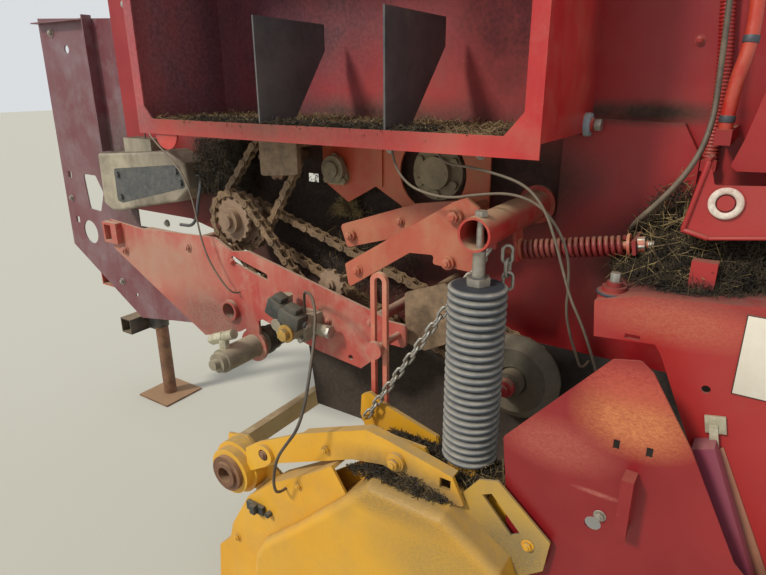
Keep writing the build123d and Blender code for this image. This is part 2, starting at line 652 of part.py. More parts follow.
def make_pickup_arm():
    """Long arm along the pickup, with the front bush's collar."""
    face = outline([
        (HUB_X + 50, HUB_Z + 81), (-845, -38), (-700, 38), (-519, 111), (-469, 105), (-409, 93), (-319, 76),
        (-291, 19), (-338, 9), (-478, 42), (-559, 24), (-622, -4), (-776, -71), (-845, -113),
        (HUB_X + 50, HUB_Z + 11),
    ], 5)
    arm = sheet(face, PICK_Y, PICK_T)
    arm += sheet(outline([(-700, 38), (-519, 111), (-469, 105), (-319, 76), (-320, 71), (-470, 99),
                          (-518, 105), (-698, 32)]), PICK_Y, 26)
    arm += rod(-444, 66, 20, PICK_Y - 10, PICK_Y) + rod(-444, 60, 14, PICK_Y + PICK_T, SIDE_Y)
    arm += rod(-629, 25, 9, PICK_Y - 6, PICK_Y) + rod(-820, -60, 26, PICK_Y - 10, PICK_Y)
    arm -= rod(-820, -60, 15, PICK_Y - 11, PICK_Y)
    arm -= block(-346, -322, PICK_Y - 1, PICK_Y + PICK_T + 1, 42, 66)
    collar = (rod(HUB_X, HUB_Z, 62, HUB_Y + 19, PICK_Y + PICK_T)
              + rod(HUB_X, HUB_Z, 72, PICK_Y + PICK_T, SIDE_Y))
    arm = arm + collar - rod(HUB_X, HUB_Z, HUB_R - 8 + CLEAR, HUB_Y, SIDE_Y + 1)
    return arm - cover_block()


def make_side(y):
    face = outline([
        (-160, 76), (-100, 76), (-94, 36), (-112, 4), (-180, -60), (-240, -330), (-420, -540),
        (-640, -590), (-860, -540), (-900, -400), (-884, -250), (-930, -224), (-1000, -200),
        (-1010, -140), (-1000, -90), (-930, -76), (-880, -110), (-800, -160), (-680, -96), (-600, -36),
        (-540, 10), (-500, 40), (-480, 84), (-405, 84), (-380, 38), (-270, 38),
    ])
    side = sheet(face, y, SIDE_T)
    side -= rod(PIVOT_X, PIVOT_Z, PIVOT_R + 0.05, y - 1, y + SIDE_T + 1)
    return side - rod(REEL_X, REEL_Z, REEL_SHAFT_R + 0.05, y - 1, y + SIDE_T + 1)


def make_pickup_sides():
    """Outer and inner side sheets; the outer one carries the boot's foot and the tab."""
    y = SIDE_Y + SIDE_T
    outer = make_side(SIDE_Y)
    outer += block(BOOT_X - 30, BOOT_X + 30, y, BOOT_Y + 30, 50, BOOT_BOTTOM - CLEAR)
    outer += block(BOOT_X - 30, BOOT_X + 30, y, y + 12, 0, 50)
    face = outline([
        (-616, 60), (-612, 112), (-590, 124), (-556, 107), (-411, 68), (-405, 24), (-600, 24),
    ], 8)
    outer += sheet(face, TAB_Y, TAB_T) + block(-596, -410, y, TAB_Y + TAB_T, 24, 34)
    outer += block(-540, -410, y, y + 8, -10, 34)
    outer += rod(LINK_X, LINK_PIN_Z, LINK_PIN_R, TAB_Y + TAB_T, LINK_Y + LINK_BAR_T)
    outer += rod(CHAIN_FOOT.X, CHAIN_FOOT.Z, 3.8, CHAIN_FOOT.Y - 12, TAB_Y)
    return Compound([outer, make_side(INNER_Y - SIDE_T)])


COVER_FACE = [
    (-700, -190), (-488, 18), (-317, 14), (-197, -62), (-150, -200), (-300, -430), (-420, -540),
    (-640, -600), (-800, -570), (-857, -500), (-857, -420), (-843, -344), (-811, -288), (-748, -232),
]


def cover_block():
    """Room that the cover takes, with a hair around it."""
    return sheet(offset(outline(COVER_FACE, 10), CLEAR), COVER_Y - 1, SIDE_Y - COVER_Y + 2)


def make_pickup_cover():
    """Domed cover over the pickup's own drive, open to the inside."""
    face = outline(COVER_FACE, 10)
    depth = SIDE_Y - COVER_Y
    shell = sheet(face, COVER_Y, depth)
    shell = fillet(shell.faces().sort_by(Axis.Y)[0].edges(), 22)
    inner = sheet(offset(face, -4), COVER_Y + 18, depth) + sheet(offset(face, -17), COVER_Y + 5, depth)
    return shell - inner


def make_front_plate():
    """Curved front sheet below the hub, bent back along its top edge."""
    skin = [(-600, 2), (-651, -35), (-790, -123), (-876, -198), (-944, -314), (-961, -373), (-1006, -413),
            (-1021, -536), (-1000, -600)]
    back = [(-760, -600), (-700, -300), (-560, -60)]
    plate = sheet(outline(skin + back), FRONT_PLATE_Y, 6)
    rim = outline(skin + [(x + 6, z - 6) for x, z in reversed(skin)])
    plate += sheet(rim, FRONT_PLATE_Y + 6, SIDE_Y - FRONT_PLATE_Y - 6)
    plate -= rod(HUB_X, HUB_Z, 79, FRONT_PLATE_Y - 1, SIDE_Y + 1)
    return plate - cover_block()


def make_front_hub():
    """Rusty flanged bush in the front collar, open at its near end."""
    body = rod(HUB_X, HUB_Z, HUB_R - 8, HUB_Y + 19, SIDE_Y)
    body += rod(HUB_X, HUB_Z, HUB_R, HUB_Y + 7, HUB_Y + 19)
    body += rod(HUB_X, HUB_Z, HUB_R - 14, HUB_Y, HUB_Y + 7)
    return body - rod(HUB_X, HUB_Z, HUB_BORE, HUB_Y - 1, SIDE_Y + 1)


def make_front_bar():
    """Angle-backed bar between the two pickup sides."""
    x, z, w, h, t = BAR_X, BAR_Z, BAR_W, BAR_H, 5.0
    y0, y1 = SIDE_Y + SIDE_T, INNER_Y - SIDE_T
    bar = block(x - w / 2, x + w / 2, y0, y1, z - h / 2, z + h / 2)
    return bar - block(x - w / 2 - 1, x + w / 2 - t, y0 - 1, y1 + 1, z - h / 2 + t, z + h / 2 - t)


def make_rear_plate():
    """Slotted plate between the cover and the door."""
    face = outline([
        (-270, 82), (-232, 94), (-126, 4), (-134, -64), (-190, -112), (-250, -150), (-336, -60),
        (-336, -7),
    ], 5)
    plate = sheet(face, -866, 5)
    plate -= sheet(outline([(-262, 52), (-243, 62), (-182, -2), (-200, -14)]), -867, 7)
    return plate - cover_block() + rod(-166, -20, 10, -861, SIDE_Y)


def make_reel():
    """Pickup reel: core, end plates and bars with their spring tines."""
    y0, y1 = SIDE_Y + SIDE_T + 20, INNER_Y - SIDE_T - 20
    x, z = REEL_X, REEL_Z
    reel = rod(x, z, REEL_SHAFT_R, SIDE_Y - 14, INNER_Y + 14) + rod(x, z, 60, y0, y1)
    for y in (y0, y1 - 6):
        reel += rod(x, z, REEL_R + 16, y, y + 6)
    for i in range(TINE_BARS):
        turn = 45 + 360 / TINE_BARS * i
        a = radians(turn)
        reel += rod(x + REEL_R * cos(a), z + REEL_R * sin(a), 14, y0, y1)
        for k in range(int((y1 - y0 - 60) / TINE_STEP) + 1):
            mid = (REEL_R + TINE_R) / 2
            tine = Box(TINE_R - REEL_R, TINE_WIRE, TINE_WIRE)
            reel += Pos(x, y0 + 40 + k * TINE_STEP, z) * Rot(0, -turn, 0) * Pos(mid, 0, 0) * tine
    return reel


def make_strippers():
    """Curved bands between the tines, on the bar that ties them to both sides."""
    x, z, r = REEL_X, REEL_Z, STRIPPER_R
    rim = [(x + r * cos(radians(a)), z + r * sin(radians(a))) for a in range(40, 331, 29)]
    inner = [(x + (r - 3) * cos(radians(a)), z + (r - 3) * sin(radians(a))) for a in range(40, 331, 29)]
    tail = (x + r + 60, z + 60)
    face = outline([tail] + rim + inner[::-1] + [(tail[0], tail[1] - 4)])
    y0, y1 = SIDE_Y + SIDE_T, INNER_Y - SIDE_T
    bar = block(tail[0] - 12, tail[0] + 20, y0, y1, tail[1] - 14, tail[1] + 10)
    for k in range(STRIPPERS):
        middle = y0 + 20 + 40 + (k + 0.5) * TINE_STEP
        bar += sheet(face, middle - STRIPPER_W / 2, STRIPPER_W)
    return bar


# Hoses and wires

def cord_radii(points):
    """Radius of each rounded corner, as large as its two runs allow."""
    radii = []
    for a, b, c in zip(points, points[1:], points[2:]):
        turn = radians((b - a).get_angle(c - b))
        radii.append(0.45 * min((b - a).length, (c - b).length) / tan(turn / 2))
    return radii


CORD_SIDES = 8

# Each as radius, then (x, y, z) points
CORDS = {
    "conduit": (13, [
        (-36, -493.3, 1289.6), (-31, -493.3, 1110), (-27, -493.3, 930), (-14, -493.3, 830),
        (-11, -493.3, 735),
        (-11, -493.4, 655.3)]),
    "red_hose": (11, [
        (8, -560, 1290), (8.1, -560, 1150), (18, -584, 980), (31, -602, 860), (14, -608, 780),
        (14, -607.9, 718)]),
    "grey_hose": (5, [
        (-26, -532, 1290), (-26, -532.1, 1215), (-22, -538, 1140), (-22, -541, 1065), (-20, -542, 990),
        (-18, -544, 922), (-15, -548, 860), (-12, -555, 795), (-9, -566, 735), (-16, -592, 680),
        (-38, -606, 632), (-72, -610, 585), (-104, -598, 548), (-120, -558, 520), (-120, -506, 520)]),
    "lamp_wire": (2.5, [
        (-448, -738, 696), (-447, -739, 668), (-426, -744, 648), (-376, -748, 646), (-318, -750, 638),
        (-262, -749, 622), (-227, -747, 584), (-206, -743, 532), (-188, -738, 476), (-172, -731, 424),
        (-150, -722, 378), (-132, -710, 325), (-126, -680, 278), (-128, -640, 242), (-130, -590, 214),
        (-130, -535, 214)]),
    "brake_wire": (2.5, [
        (-545, -744, 696), (-544, -745, 668), (-532, -747, 632), (-505, -748, 603), (-468, -747, 589),
        (-414, -744, 583), (-356, -740, 596), (-292, -736, 604), (-240, -730, 586), (-206, -723, 545),
        (-188, -712, 496), (-186, -700, 440), (-190, -688, 382), (-182, -668, 326), (-176, -630, 272),
        (-172, -590, 218), (-172, -535, 218)]),
    "grey_wire": (2.5, [
        (-1606, -540, 621), (-1605, -541, 650), (-1576, -568, 666), (-1500, -604, 650), (-1432, -630, 624),
        (-1372, -648, 602), (-1318, -664, 578), (-1262, -680, 548), (-1226, -690, 498), (-1204, -698, 440),
        (-1190, -702, 382), (-1166, -704, 328), (-1130, -702, 280), (-1092, -696, 240), (-1092, -670, 240)]),
    "drain_pipe": (5, [
        (-1395.2, -530, 520), (-1372, -532, 518), (-1360, -546, 490), (-1362, -560, 445), (-1370, -562, 398),
        (-1402, -560, 366), (-1462, -556, 362)]),
    "sensor_cable": (3.5, [
        (-830, -700, 245.3), (-829, -702, 290), (-792, -738, 322), (-742, -772, 330), (-700, -812, 310),
        (-668, -858, 268), (-648, -900, 216), (-640, -930, 156), (-652, -944, 100), (-684, -946, 54),
        (-714, -947, 10), (-728, -947, -38), (-738, -942, -82), (-741, -928, -114), (-741, -900.3, -115)]),
}


def make_cord(name):
    """Round cord along straight runs joined by arcs."""
    r, places = CORDS[name]
    points = [Vector(*place) for place in places]
    radii = cord_radii(points)
    path = FilletPolyline(*points, radius=radii)
    section = Plane(origin=path @ 0, z_dir=path % 0) * RegularPolygon(r, CORD_SIDES)
    cord = sweep(section, path)
    print(name, "length", round(path.length), "radii", [round(radius) for radius in radii])
    print(name, "volume share of section by length", round(cord.volume / (section.area * path.length), 4))
    return cord


# Door and the frame behind it

def make_door():
    face = outline([
        (-234, 181), (-65, 382), (-24, 390), (-4, 374), (65, 262), (150, 90), (180, 60),
        (180, -150), (-60, -150), (-108, 2), (-227, 115),
    ], 10)
    y, back = DOOR_Y, DOOR_Y + DOOR_T
    door = sheet(face, y, DOOR_T)
    for x, z in [(-42, 235), (8, 238)]:
        door -= block(x - 5, x + 5, y - 1, back + 1, z - 9, z + 9)
    door -= rod(-62, 67, 14, y - 1, back + 1)
    door += (block(170, HINGE_X, y, back, HINGE_Z0, HINGE_Z1)
             + post(HINGE_X, y + DOOR_T / 2, HINGE_R, HINGE_Z0, HINGE_Z1))
    door -= post(HINGE_X, y + DOOR_T / 2, 5.05, HINGE_Z0 - 1, HINGE_Z1 + 1)
    grip = block(-22, -3, y - 34, y - 28, 88, 196)
    grip += block(-22, -3, y - 28, y, 190, 196) + block(-22, -3, y - 28, y, 88, 94)
    return door + grip


def make_door_post():
    """Hinge pin and the post that carries it."""
    y, x, z0, z1 = DOOR_Y + DOOR_T / 2, HINGE_X, HINGE_Z0, HINGE_Z1
    body = post(x, y, 5, z0 - 14, z1 + 14)
    for low, high in [(z1 + CLEAR, z1 + 12), (z0 - 12, z0 - CLEAR)]:
        body += block(x - 8, x + 26, y - 8, y + 20, low, high)
    body += block(x + 14, x + 26, y + 20, WALL_Y + WALL_T, z0 - 12, z1 + 12)
    return body + block(REAR_X, x + 14, WALL_Y, WALL_Y + WALL_T, z0, z1)


def make_rear_frame():
    """Plate behind the door, with its ledge running back to the wall."""
    face = outline([
        (-124, 440), (-55, 456), (REAR_X, 476), (REAR_X, -130), (-20, -130), (60, 210), (-9, 368),
        (-20, 384), (-118, 376),
    ])
    plate = sheet(face, FRAME_Y, FRAME_T)
    plate -= rod(64, 326, 7, FRAME_Y - 1, FRAME_Y + FRAME_T + 1)
    ledge = outline([(-124, 440), (-55, 462), (REAR_X, 482), (REAR_X, 470), (-55, 450), (-120, 430)])
    plate += sheet(ledge, FRAME_Y, WALL_Y - FRAME_Y)
    plate -= block(-68, -44, FRAME_Y - 1, FRAME_Y + FRAME_T + 1, 385, 393)
    plate += block(8, 46, -712, -690, 462, 520)
    plate += sheet(outline([(98, 464), (164, 464), (164, 332), (99, 329)]), FRAME_Y - 1.5, 1.5)
    x, y = -102, -722
    for r, low, high in [(26, 438, 452), (20, 452, 460), (13, 460, 468), (8, 468, 482)]:
        plate += post(x, y, r, low, high)
    return plate


def make_ring_bracket():
    """Folded bracket for the pale ring."""
    face = outline([(-14, 560), (8, 684), (20, 640), (REAR_X, 650), (REAR_X, 575), (24, 556)], 5)
    plate = sheet(face, -700, 5)
    plate += sheet(outline([(-11, 562), (9, 680), (3, 682), (-17, 562)]), -700, 60)
    plate += block(110, 150, -695, WALL_Y, 590, 600)
    plate += tube(40, 615, 26, 8, -703, -700)
    plate += rod(40, 615, 12, -705, -700)
    pan = [(64, 790), (46, 706), (33, 664), (42, 656), (REAR_X, 660)]
    plate += sheet(outline(pan + [(REAR_X, 790)]), -640, 4)
    return plate + sheet(
        outline(pan + [(min(x + 6, REAR_X), z + 5) for x, z in reversed(pan)]), -640, WALL_Y + 640)


# Jack and cross tube at the front

def make_cross_tube():
    x, z, size = CROSS_TUBE_X, CROSS_TUBE_Z, CROSS_TUBE
    front, rear, top = x - size / 2, x + size / 2, z + size / 2
    beam_front = CROSS_PLACES[2][0] - CROSS / 2
    gusset = outline([(front, top), (rear, top), (beam_front, 20), (beam_front, 100), (beam_front - 40, 100),
                      (front, top + 45)])
    return box_tube(x, z, size, 5, -310, CUT_Y) + sheet(gusset, -60, 12)


def make_jack_sleeve():
    rear = CROSS_TUBE_X + CROSS_TUBE / 2
    sleeve = post(JACK_X, JACK_Y, JACK_R + JACK_WALL, -270, 150)
    sleeve += block(rear, JACK_X, JACK_Y - 20, JACK_Y + 20, -290, -230)
    return sleeve - post(JACK_X, JACK_Y, JACK_R + 0.05, -300, 130)


def make_jack_leg():
    top = GROUND_Z + JACK_FOOT_T
    leg = post(JACK_X, JACK_Y, JACK_R, top, -140)
    foot = Pos(JACK_X, JACK_Y, GROUND_Z + JACK_FOOT_T / 2) * Box(JACK_FOOT, JACK_FOOT, JACK_FOOT_T)
    return leg + foot


PARTS = {
    "side_wall": make_side_wall(),
    "low_wall": make_low_wall(),
    "cross_beams": make_cross_beams(),
    "front_panel": make_front_panel(),
    "rear_frame": make_rear_frame(),
    "door_post": make_door_post(),
    "pivot_pin": rod(PIVOT_X, PIVOT_Z, PIVOT_R, SIDE_Y - 4, CUT_Y),
    "ring_bracket": make_ring_bracket(),
    "twine_box": make_twine_box(),
    "twine_dividers": make_dividers(),
    "gear_case": make_gear_case(),
    "gear_cover": make_gear_cover(),
    "driveline_housing": make_driveline_housing(),
    "upper_plate": make_upper_plate(),
    "roll_bearings": make_roll_bearings(),
    "chain_cover": make_chain_cover(),
    "lower_plate": make_lower_plate(),
    "tensioner_arm": make_tensioner_arm(),
    "rear_arm": make_rear_arm(),
    "lift_tube": make_lift_tube(),
    "spring": make_spring(),
    "spring_rod": make_spring_rod(),
    "boot_hanger": make_boot_hanger(),
    "tan_plate": make_tan_plate(),
    "cylinder": make_cylinder(),
    "valve_block": make_valve_block(),
    "cross_tube": make_cross_tube(),
    "jack_sleeve": make_jack_sleeve(),
    "upper_chain": chain_loop(DRIVE_X, DRIVE_Z, DRIVE_R_UPPER, UPPER_X, UPPER_Z, UPPER_R, UPPER_CHAIN_Y),
    "front_chain": chain_loop(DRIVE_X, DRIVE_Z, DRIVE_R_FRONT, LOWER_X, LOWER_Z, LOWER_R, FRONT_CHAIN_Y),
    "main_chain": chain_loop(DRIVE_X, DRIVE_Z, DRIVE_R_MAIN, DISC_X, DISC_Z, DISC_R, MAIN_CHAIN_Y),
    "drive_wheels": make_drive_wheels(),
    "upper_wheel": make_stub_wheel(UPPER_X, UPPER_Z, UPPER_R, UPPER_CHAIN_Y, WHEEL_SHAFT_R),
    "lower_wheel": make_stub_wheel(LOWER_X, LOWER_Z, LOWER_R, FRONT_CHAIN_Y, WHEEL_SHAFT_R),
    "idler_wheel": make_stub_wheel(IDLER_X, IDLER_Z, IDLER_R + LINK_H / 2, IDLER_Y, IDLER_STUB_R),
    "disc_wheel": make_disc_wheel(),
    "pickup_sides": make_pickup_sides(),
    "pickup_arm": make_pickup_arm(),
    "pickup_cover": make_pickup_cover(),
    "front_plate": make_front_plate(),
    "rear_plate": make_rear_plate(),
    "front_hub": make_front_hub(),
    "front_bar": make_front_bar(),
    "boot": make_boot(),
    "lift_chain": make_lift_chain(),
    "reel": make_reel(),
    "strippers": make_strippers(),
    **{name: make_cord(name) for name in CORDS},
    "slotted_link": make_slotted_link(),
    "door": make_door(),
    "jack_leg": make_jack_leg(),
}

for name, solid in PARTS.items():
    export_step(solid, f"parts/{name}.step")
    print(name, round(solid.volume / 1000), "cm3")
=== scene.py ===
import json
from math import atan2, cos, hypot, pi, radians, sin
import random

import bpy
from mathutils import Matrix, Vector


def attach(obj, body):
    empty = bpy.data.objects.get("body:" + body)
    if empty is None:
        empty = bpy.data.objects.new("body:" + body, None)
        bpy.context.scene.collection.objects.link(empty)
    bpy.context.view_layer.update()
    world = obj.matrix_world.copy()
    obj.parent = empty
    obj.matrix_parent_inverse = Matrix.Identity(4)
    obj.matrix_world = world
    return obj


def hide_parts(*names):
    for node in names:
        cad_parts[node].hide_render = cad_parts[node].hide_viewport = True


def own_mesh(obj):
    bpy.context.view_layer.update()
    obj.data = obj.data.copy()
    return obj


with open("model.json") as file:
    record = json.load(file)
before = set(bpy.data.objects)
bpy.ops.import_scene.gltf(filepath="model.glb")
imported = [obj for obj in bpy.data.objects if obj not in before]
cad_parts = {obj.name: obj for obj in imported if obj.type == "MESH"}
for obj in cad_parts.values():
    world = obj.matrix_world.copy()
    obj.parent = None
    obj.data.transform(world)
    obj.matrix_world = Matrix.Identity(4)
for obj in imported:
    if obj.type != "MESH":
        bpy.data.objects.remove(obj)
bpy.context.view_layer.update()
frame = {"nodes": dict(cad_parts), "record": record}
NODES = frame["nodes"]

# Front left corner of a round baler, in metres. X runs rearward, Y inboard, Z up.

GROUND_Z = -0.620

# Outer faces of the plates, from the wall outwards
WALL_Y = -0.480
UPPER_Y = -0.520
LOWER_Y = -0.670
ARM_Y = -0.700
FRAME_Y = -0.760
DOOR_Y = -0.850
PICK_Y = -0.880
FRONT_PLATE_Y = -0.900

BOX_END_X = -0.234
BOX_FLOOR = 0.700

# Roller chains: pitch, plate, and each wheel as (x, z, pitch radius)
PITCH = 0.03175
LINK_PLATE_H, LINK_PLATE_T = 0.0208, 0.0026
DRIVE = (-1.130, 0.433)
UPPER_WHEEL = (-0.994, 0.608, 0.072)
LOWER_WHEEL = (-0.879, 0.221, 0.038)
DISC_WHEEL = (-0.312, 0.165, 0.070)

BOOT_X, BOOT_Y, BOOT_R = -0.326, -0.790, 0.057
BOOT_TOP, BOOT_BOTTOM, BOOT_PLEATS = 0.441, 0.072, 24
BOOT_NECK_R, BOOT_VALLEY = 0.047, 0.0115
CHAIN_FOOT = Vector((-0.585, -0.787, 0.072))
CHAIN_TOP = Vector((-0.334, -0.722, 0.492))
SPRING_START = Vector((-0.300, -0.650, 0.478))
SPRING_END = Vector((-0.104, -0.640, 0.512))
SPRING_R, SPRING_WIRE, SPRING_TURNS, SPRING_SEAT = 0.0152, 0.0046, 17, 0.006
LIFT_LINK_R, LIFT_WIRE, LIFT_STEP = 0.0072, 0.0029, 0.0226

# Axis of the cylinder as (x, z), and of the frame's upright bolt as (x, y)
CYLINDER = (-1.054, 0.087)
FRAME_BOLT = (-0.102, -0.722)


# Finishes

def tone(red, green, blue):
    """Colour from 0 to 255 a channel, as the shader's linear values."""
    values = []
    for part in (red, green, blue):
        share = part / 255
        values.append(share / 12.92 if share <= 0.04045 else ((share + 0.055) / 1.055) ** 2.4)
    return (*values, 1.0)


def blank_finish(name):
    """Material with its shader and the piece's own coordinates."""
    material = bpy.data.materials.new(name)
    material.use_nodes = True
    tree = material.node_tree
    shader = tree.nodes["Principled BSDF"]
    place = tree.nodes.new("ShaderNodeTexCoord").outputs["Object"]
    return material, tree, shader, place


def noise(tree, place, scale, detail=4.0, rough=0.6):
    made = tree.nodes.new("ShaderNodeTexNoise")
    made.inputs["Scale"].default_value = scale
    made.inputs["Detail"].default_value = detail
    made.inputs["Roughness"].default_value = rough
    tree.links.new(place, made.inputs["Vector"])
    return made.outputs["Fac"]


def level(tree, value, low, high, start=0.0, end=1.0):
    """Value from low to high, as start to end."""
    made = tree.nodes.new("ShaderNodeMapRange")
    for socket, number in [("From Min", low), ("From Max", high), ("To Min", start), ("To Max", end)]:
        made.inputs[socket].default_value = number
    tree.links.new(value, made.inputs["Value"])
    return made.outputs["Result"]


def combine(tree, kind, a, b):
    made = tree.nodes.new("ShaderNodeMath")
    made.operation = kind
    for socket, value in zip(made.inputs, (a, b)):
        if isinstance(value, (int, float)):
            socket.default_value = value
        else:
            tree.links.new(value, socket)
    return made.outputs[0]


def blend(tree, share, under, over):
    made = tree.nodes.new("ShaderNodeMix")
    made.data_type = "RGBA"
    tree.links.new(share, made.inputs["Factor"])
    for socket, value in (("A", under), ("B", over)):
        target = next(s for s in made.inputs if s.name == socket and s.type == "RGBA")
        if isinstance(value, tuple):
            target.default_value = value
        else:
            tree.links.new(value, target)
    return next(s for s in made.outputs if s.type == "RGBA")


def stretched(tree, place, scale):
    made = tree.nodes.new("ShaderNodeMapping")
    made.inputs["Scale"].default_value = scale
    tree.links.new(place, made.inputs["Vector"])
    return made.outputs["Vector"]


def facing(tree, axis, start, end, low=0.0, high=1.0):
    """Low to high as a face's normal goes from start to end along an axis."""
    normal = tree.nodes.new("ShaderNodeNewGeometry").outputs["Normal"]
    split = tree.nodes.new("ShaderNodeSeparateXYZ")
    tree.links.new(normal, split.inputs[0])
    return level(tree, split.outputs[axis], start, end, low, high)


def facing_up(tree, start=0.35, end=0.9):
    """1 on a face that looks up, 0 on an upright one."""
    return facing(tree, "Z", start, end)


def near(tree, place, centre, reach):
    """1 at the centre, 0 from reach on, as (x, y, z) each."""
    made = tree.nodes.new("ShaderNodeMapping")
    made.vector_type = "POINT"
    made.inputs["Scale"].default_value = [1 / r for r in reach]
    made.inputs["Location"].default_value = [-c / r for c, r in zip(centre, reach)]
    tree.links.new(place, made.inputs["Vector"])
    length = tree.nodes.new("ShaderNodeVectorMath")
    length.operation = "LENGTH"
    tree.links.new(made.outputs["Vector"], length.inputs[0])
    return level(tree, length.outputs["Value"], 0.35, 1.0, 1.0, 0.0)


def bumps(tree, shader, height, strength, depth):
    made = tree.nodes.new("ShaderNodeBump")
    made.inputs["Strength"].default_value = strength
    made.inputs["Distance"].default_value = depth
    tree.links.new(height, made.inputs["Height"])
    tree.links.new(made.outputs["Normal"], shader.inputs["Normal"])


def worn_paint(name, paint, faded, dust, film=0.45, rust=0.8, gloss=0.38, grime=(), grime_tone=(72, 56, 42),
               scuffs=()):
    """Farm paint: faded patches, a film of dust, chips, and at the given places grime and painted shade, fine
    scuffs and painted light.
    """
    material, tree, shader, place = blank_finish(name)
    fade = level(tree, noise(tree, place, 3.1, 3), 0.38, 0.66)
    colour = blend(tree, fade, tone(*paint), tone(*faded))
    runs = noise(tree, stretched(tree, place, (22, 22, 3.2)), 1.0, 6, 0.7)
    colour = blend(tree, level(tree, runs, 0.5, 0.78, 0, film * 0.55), colour, tone(*dust))
    blotch = noise(tree, place, 8.5, 9, 0.72)
    dusty = level(tree, blotch, 0.47, 0.72, 0, film)
    drift = level(tree, noise(tree, place, 31, 5), 0.2, 0.55, 0.35, 1)
    dusty = combine(tree, "MAXIMUM", dusty, combine(tree, "MULTIPLY", facing_up(tree), drift))
    colour = blend(tree, dusty, colour, tone(*dust))
    speck = noise(tree, place, 95, 7, 0.72)
    outer_side = facing(tree, "Y", 0.2, 0.6, 1.0, 0.0)
    # Dark patches: grime, and painted shade where a paint's table says so
    for centre, reach, *own in grime:
        uneven = level(tree, blotch, 0.3, 0.6, 0.7, 1)
        spot = combine(tree, "MULTIPLY", near(tree, place, centre, reach), uneven)
        spot = combine(tree, "MULTIPLY", spot, outer_side)
        shade = own[0] if own else grime_tone
        dark = blend(tree, level(tree, speck, 0.4, 0.62), tone(*shade), tone(*[c * 1.32 for c in shade]))
        colour = blend(tree, spot, colour, dark)
        dusty = combine(tree, "MAXIMUM", dusty, spot)
    fine = noise(tree, stretched(tree, place, (1, 1, 2.2)), 210, 6, 0.8)
    # Lighter and darker patches: scuffs, and painted light where a paint's table says so
    for centre, reach, shade in scuffs:
        uneven = level(tree, fine, 0.36, 0.62, 0.25, 0.95)
        spot = combine(tree, "MULTIPLY", near(tree, place, centre, reach), uneven)
        colour = blend(tree, spot, colour, tone(*shade))
    chips = level(tree, noise(tree, place, 62, 9, 0.78), 0.655, 0.69, 0, rust)
    colour = blend(tree, chips, colour, tone(92, 52, 38))
    tree.links.new(colour, shader.inputs["Base Color"])
    dull = combine(tree, "MAXIMUM", dusty, chips)
    tree.links.new(level(tree, dull, 0, 1, gloss, 0.92), shader.inputs["Roughness"])
    grains = combine(tree, "MULTIPLY", speck, 0.5)
    coarse = combine(tree, "ADD", grains, combine(tree, "MULTIPLY", dusty, 0.6))
    bumps(tree, shader, coarse, 0.35, 0.0012)
    return material


def dirty_metal(name, dark, light, dust, dusty_share=0.5, metal=0.0, gloss=0.55, grain=60):
    """Bare or rusty metal under dust and chaff."""
    material, tree, shader, place = blank_finish(name)
    patch = noise(tree, place, grain * 0.35, 8, 0.7)
    fine = noise(tree, place, grain * 2.4, 8, 0.75)
    colour = blend(tree, level(tree, patch, 0.35, 0.65), tone(*dark), tone(*light))
    colour = blend(tree, level(tree, fine, 0.52, 0.75, 0, 0.6), colour, tone(*[c * 0.45 for c in dark]))
    film = level(tree, noise(tree, place, grain * 0.2, 6, 0.75), 0.42, 0.7, 0, dusty_share)
    film = combine(tree, "MAXIMUM", film, combine(tree, "MULTIPLY", facing_up(tree), dusty_share * 1.4))
    colour = blend(tree, film, colour, tone(*dust))
    tree.links.new(colour, shader.inputs["Base Color"])
    shader.inputs["Metallic"].default_value = metal
    tree.links.new(level(tree, film, 0, 1, gloss, 0.95), shader.inputs["Roughness"])
    bumps(tree, shader, combine(tree, "ADD", fine, film), 0.5, 0.0014)
    return material


DUST = (168, 140, 108)
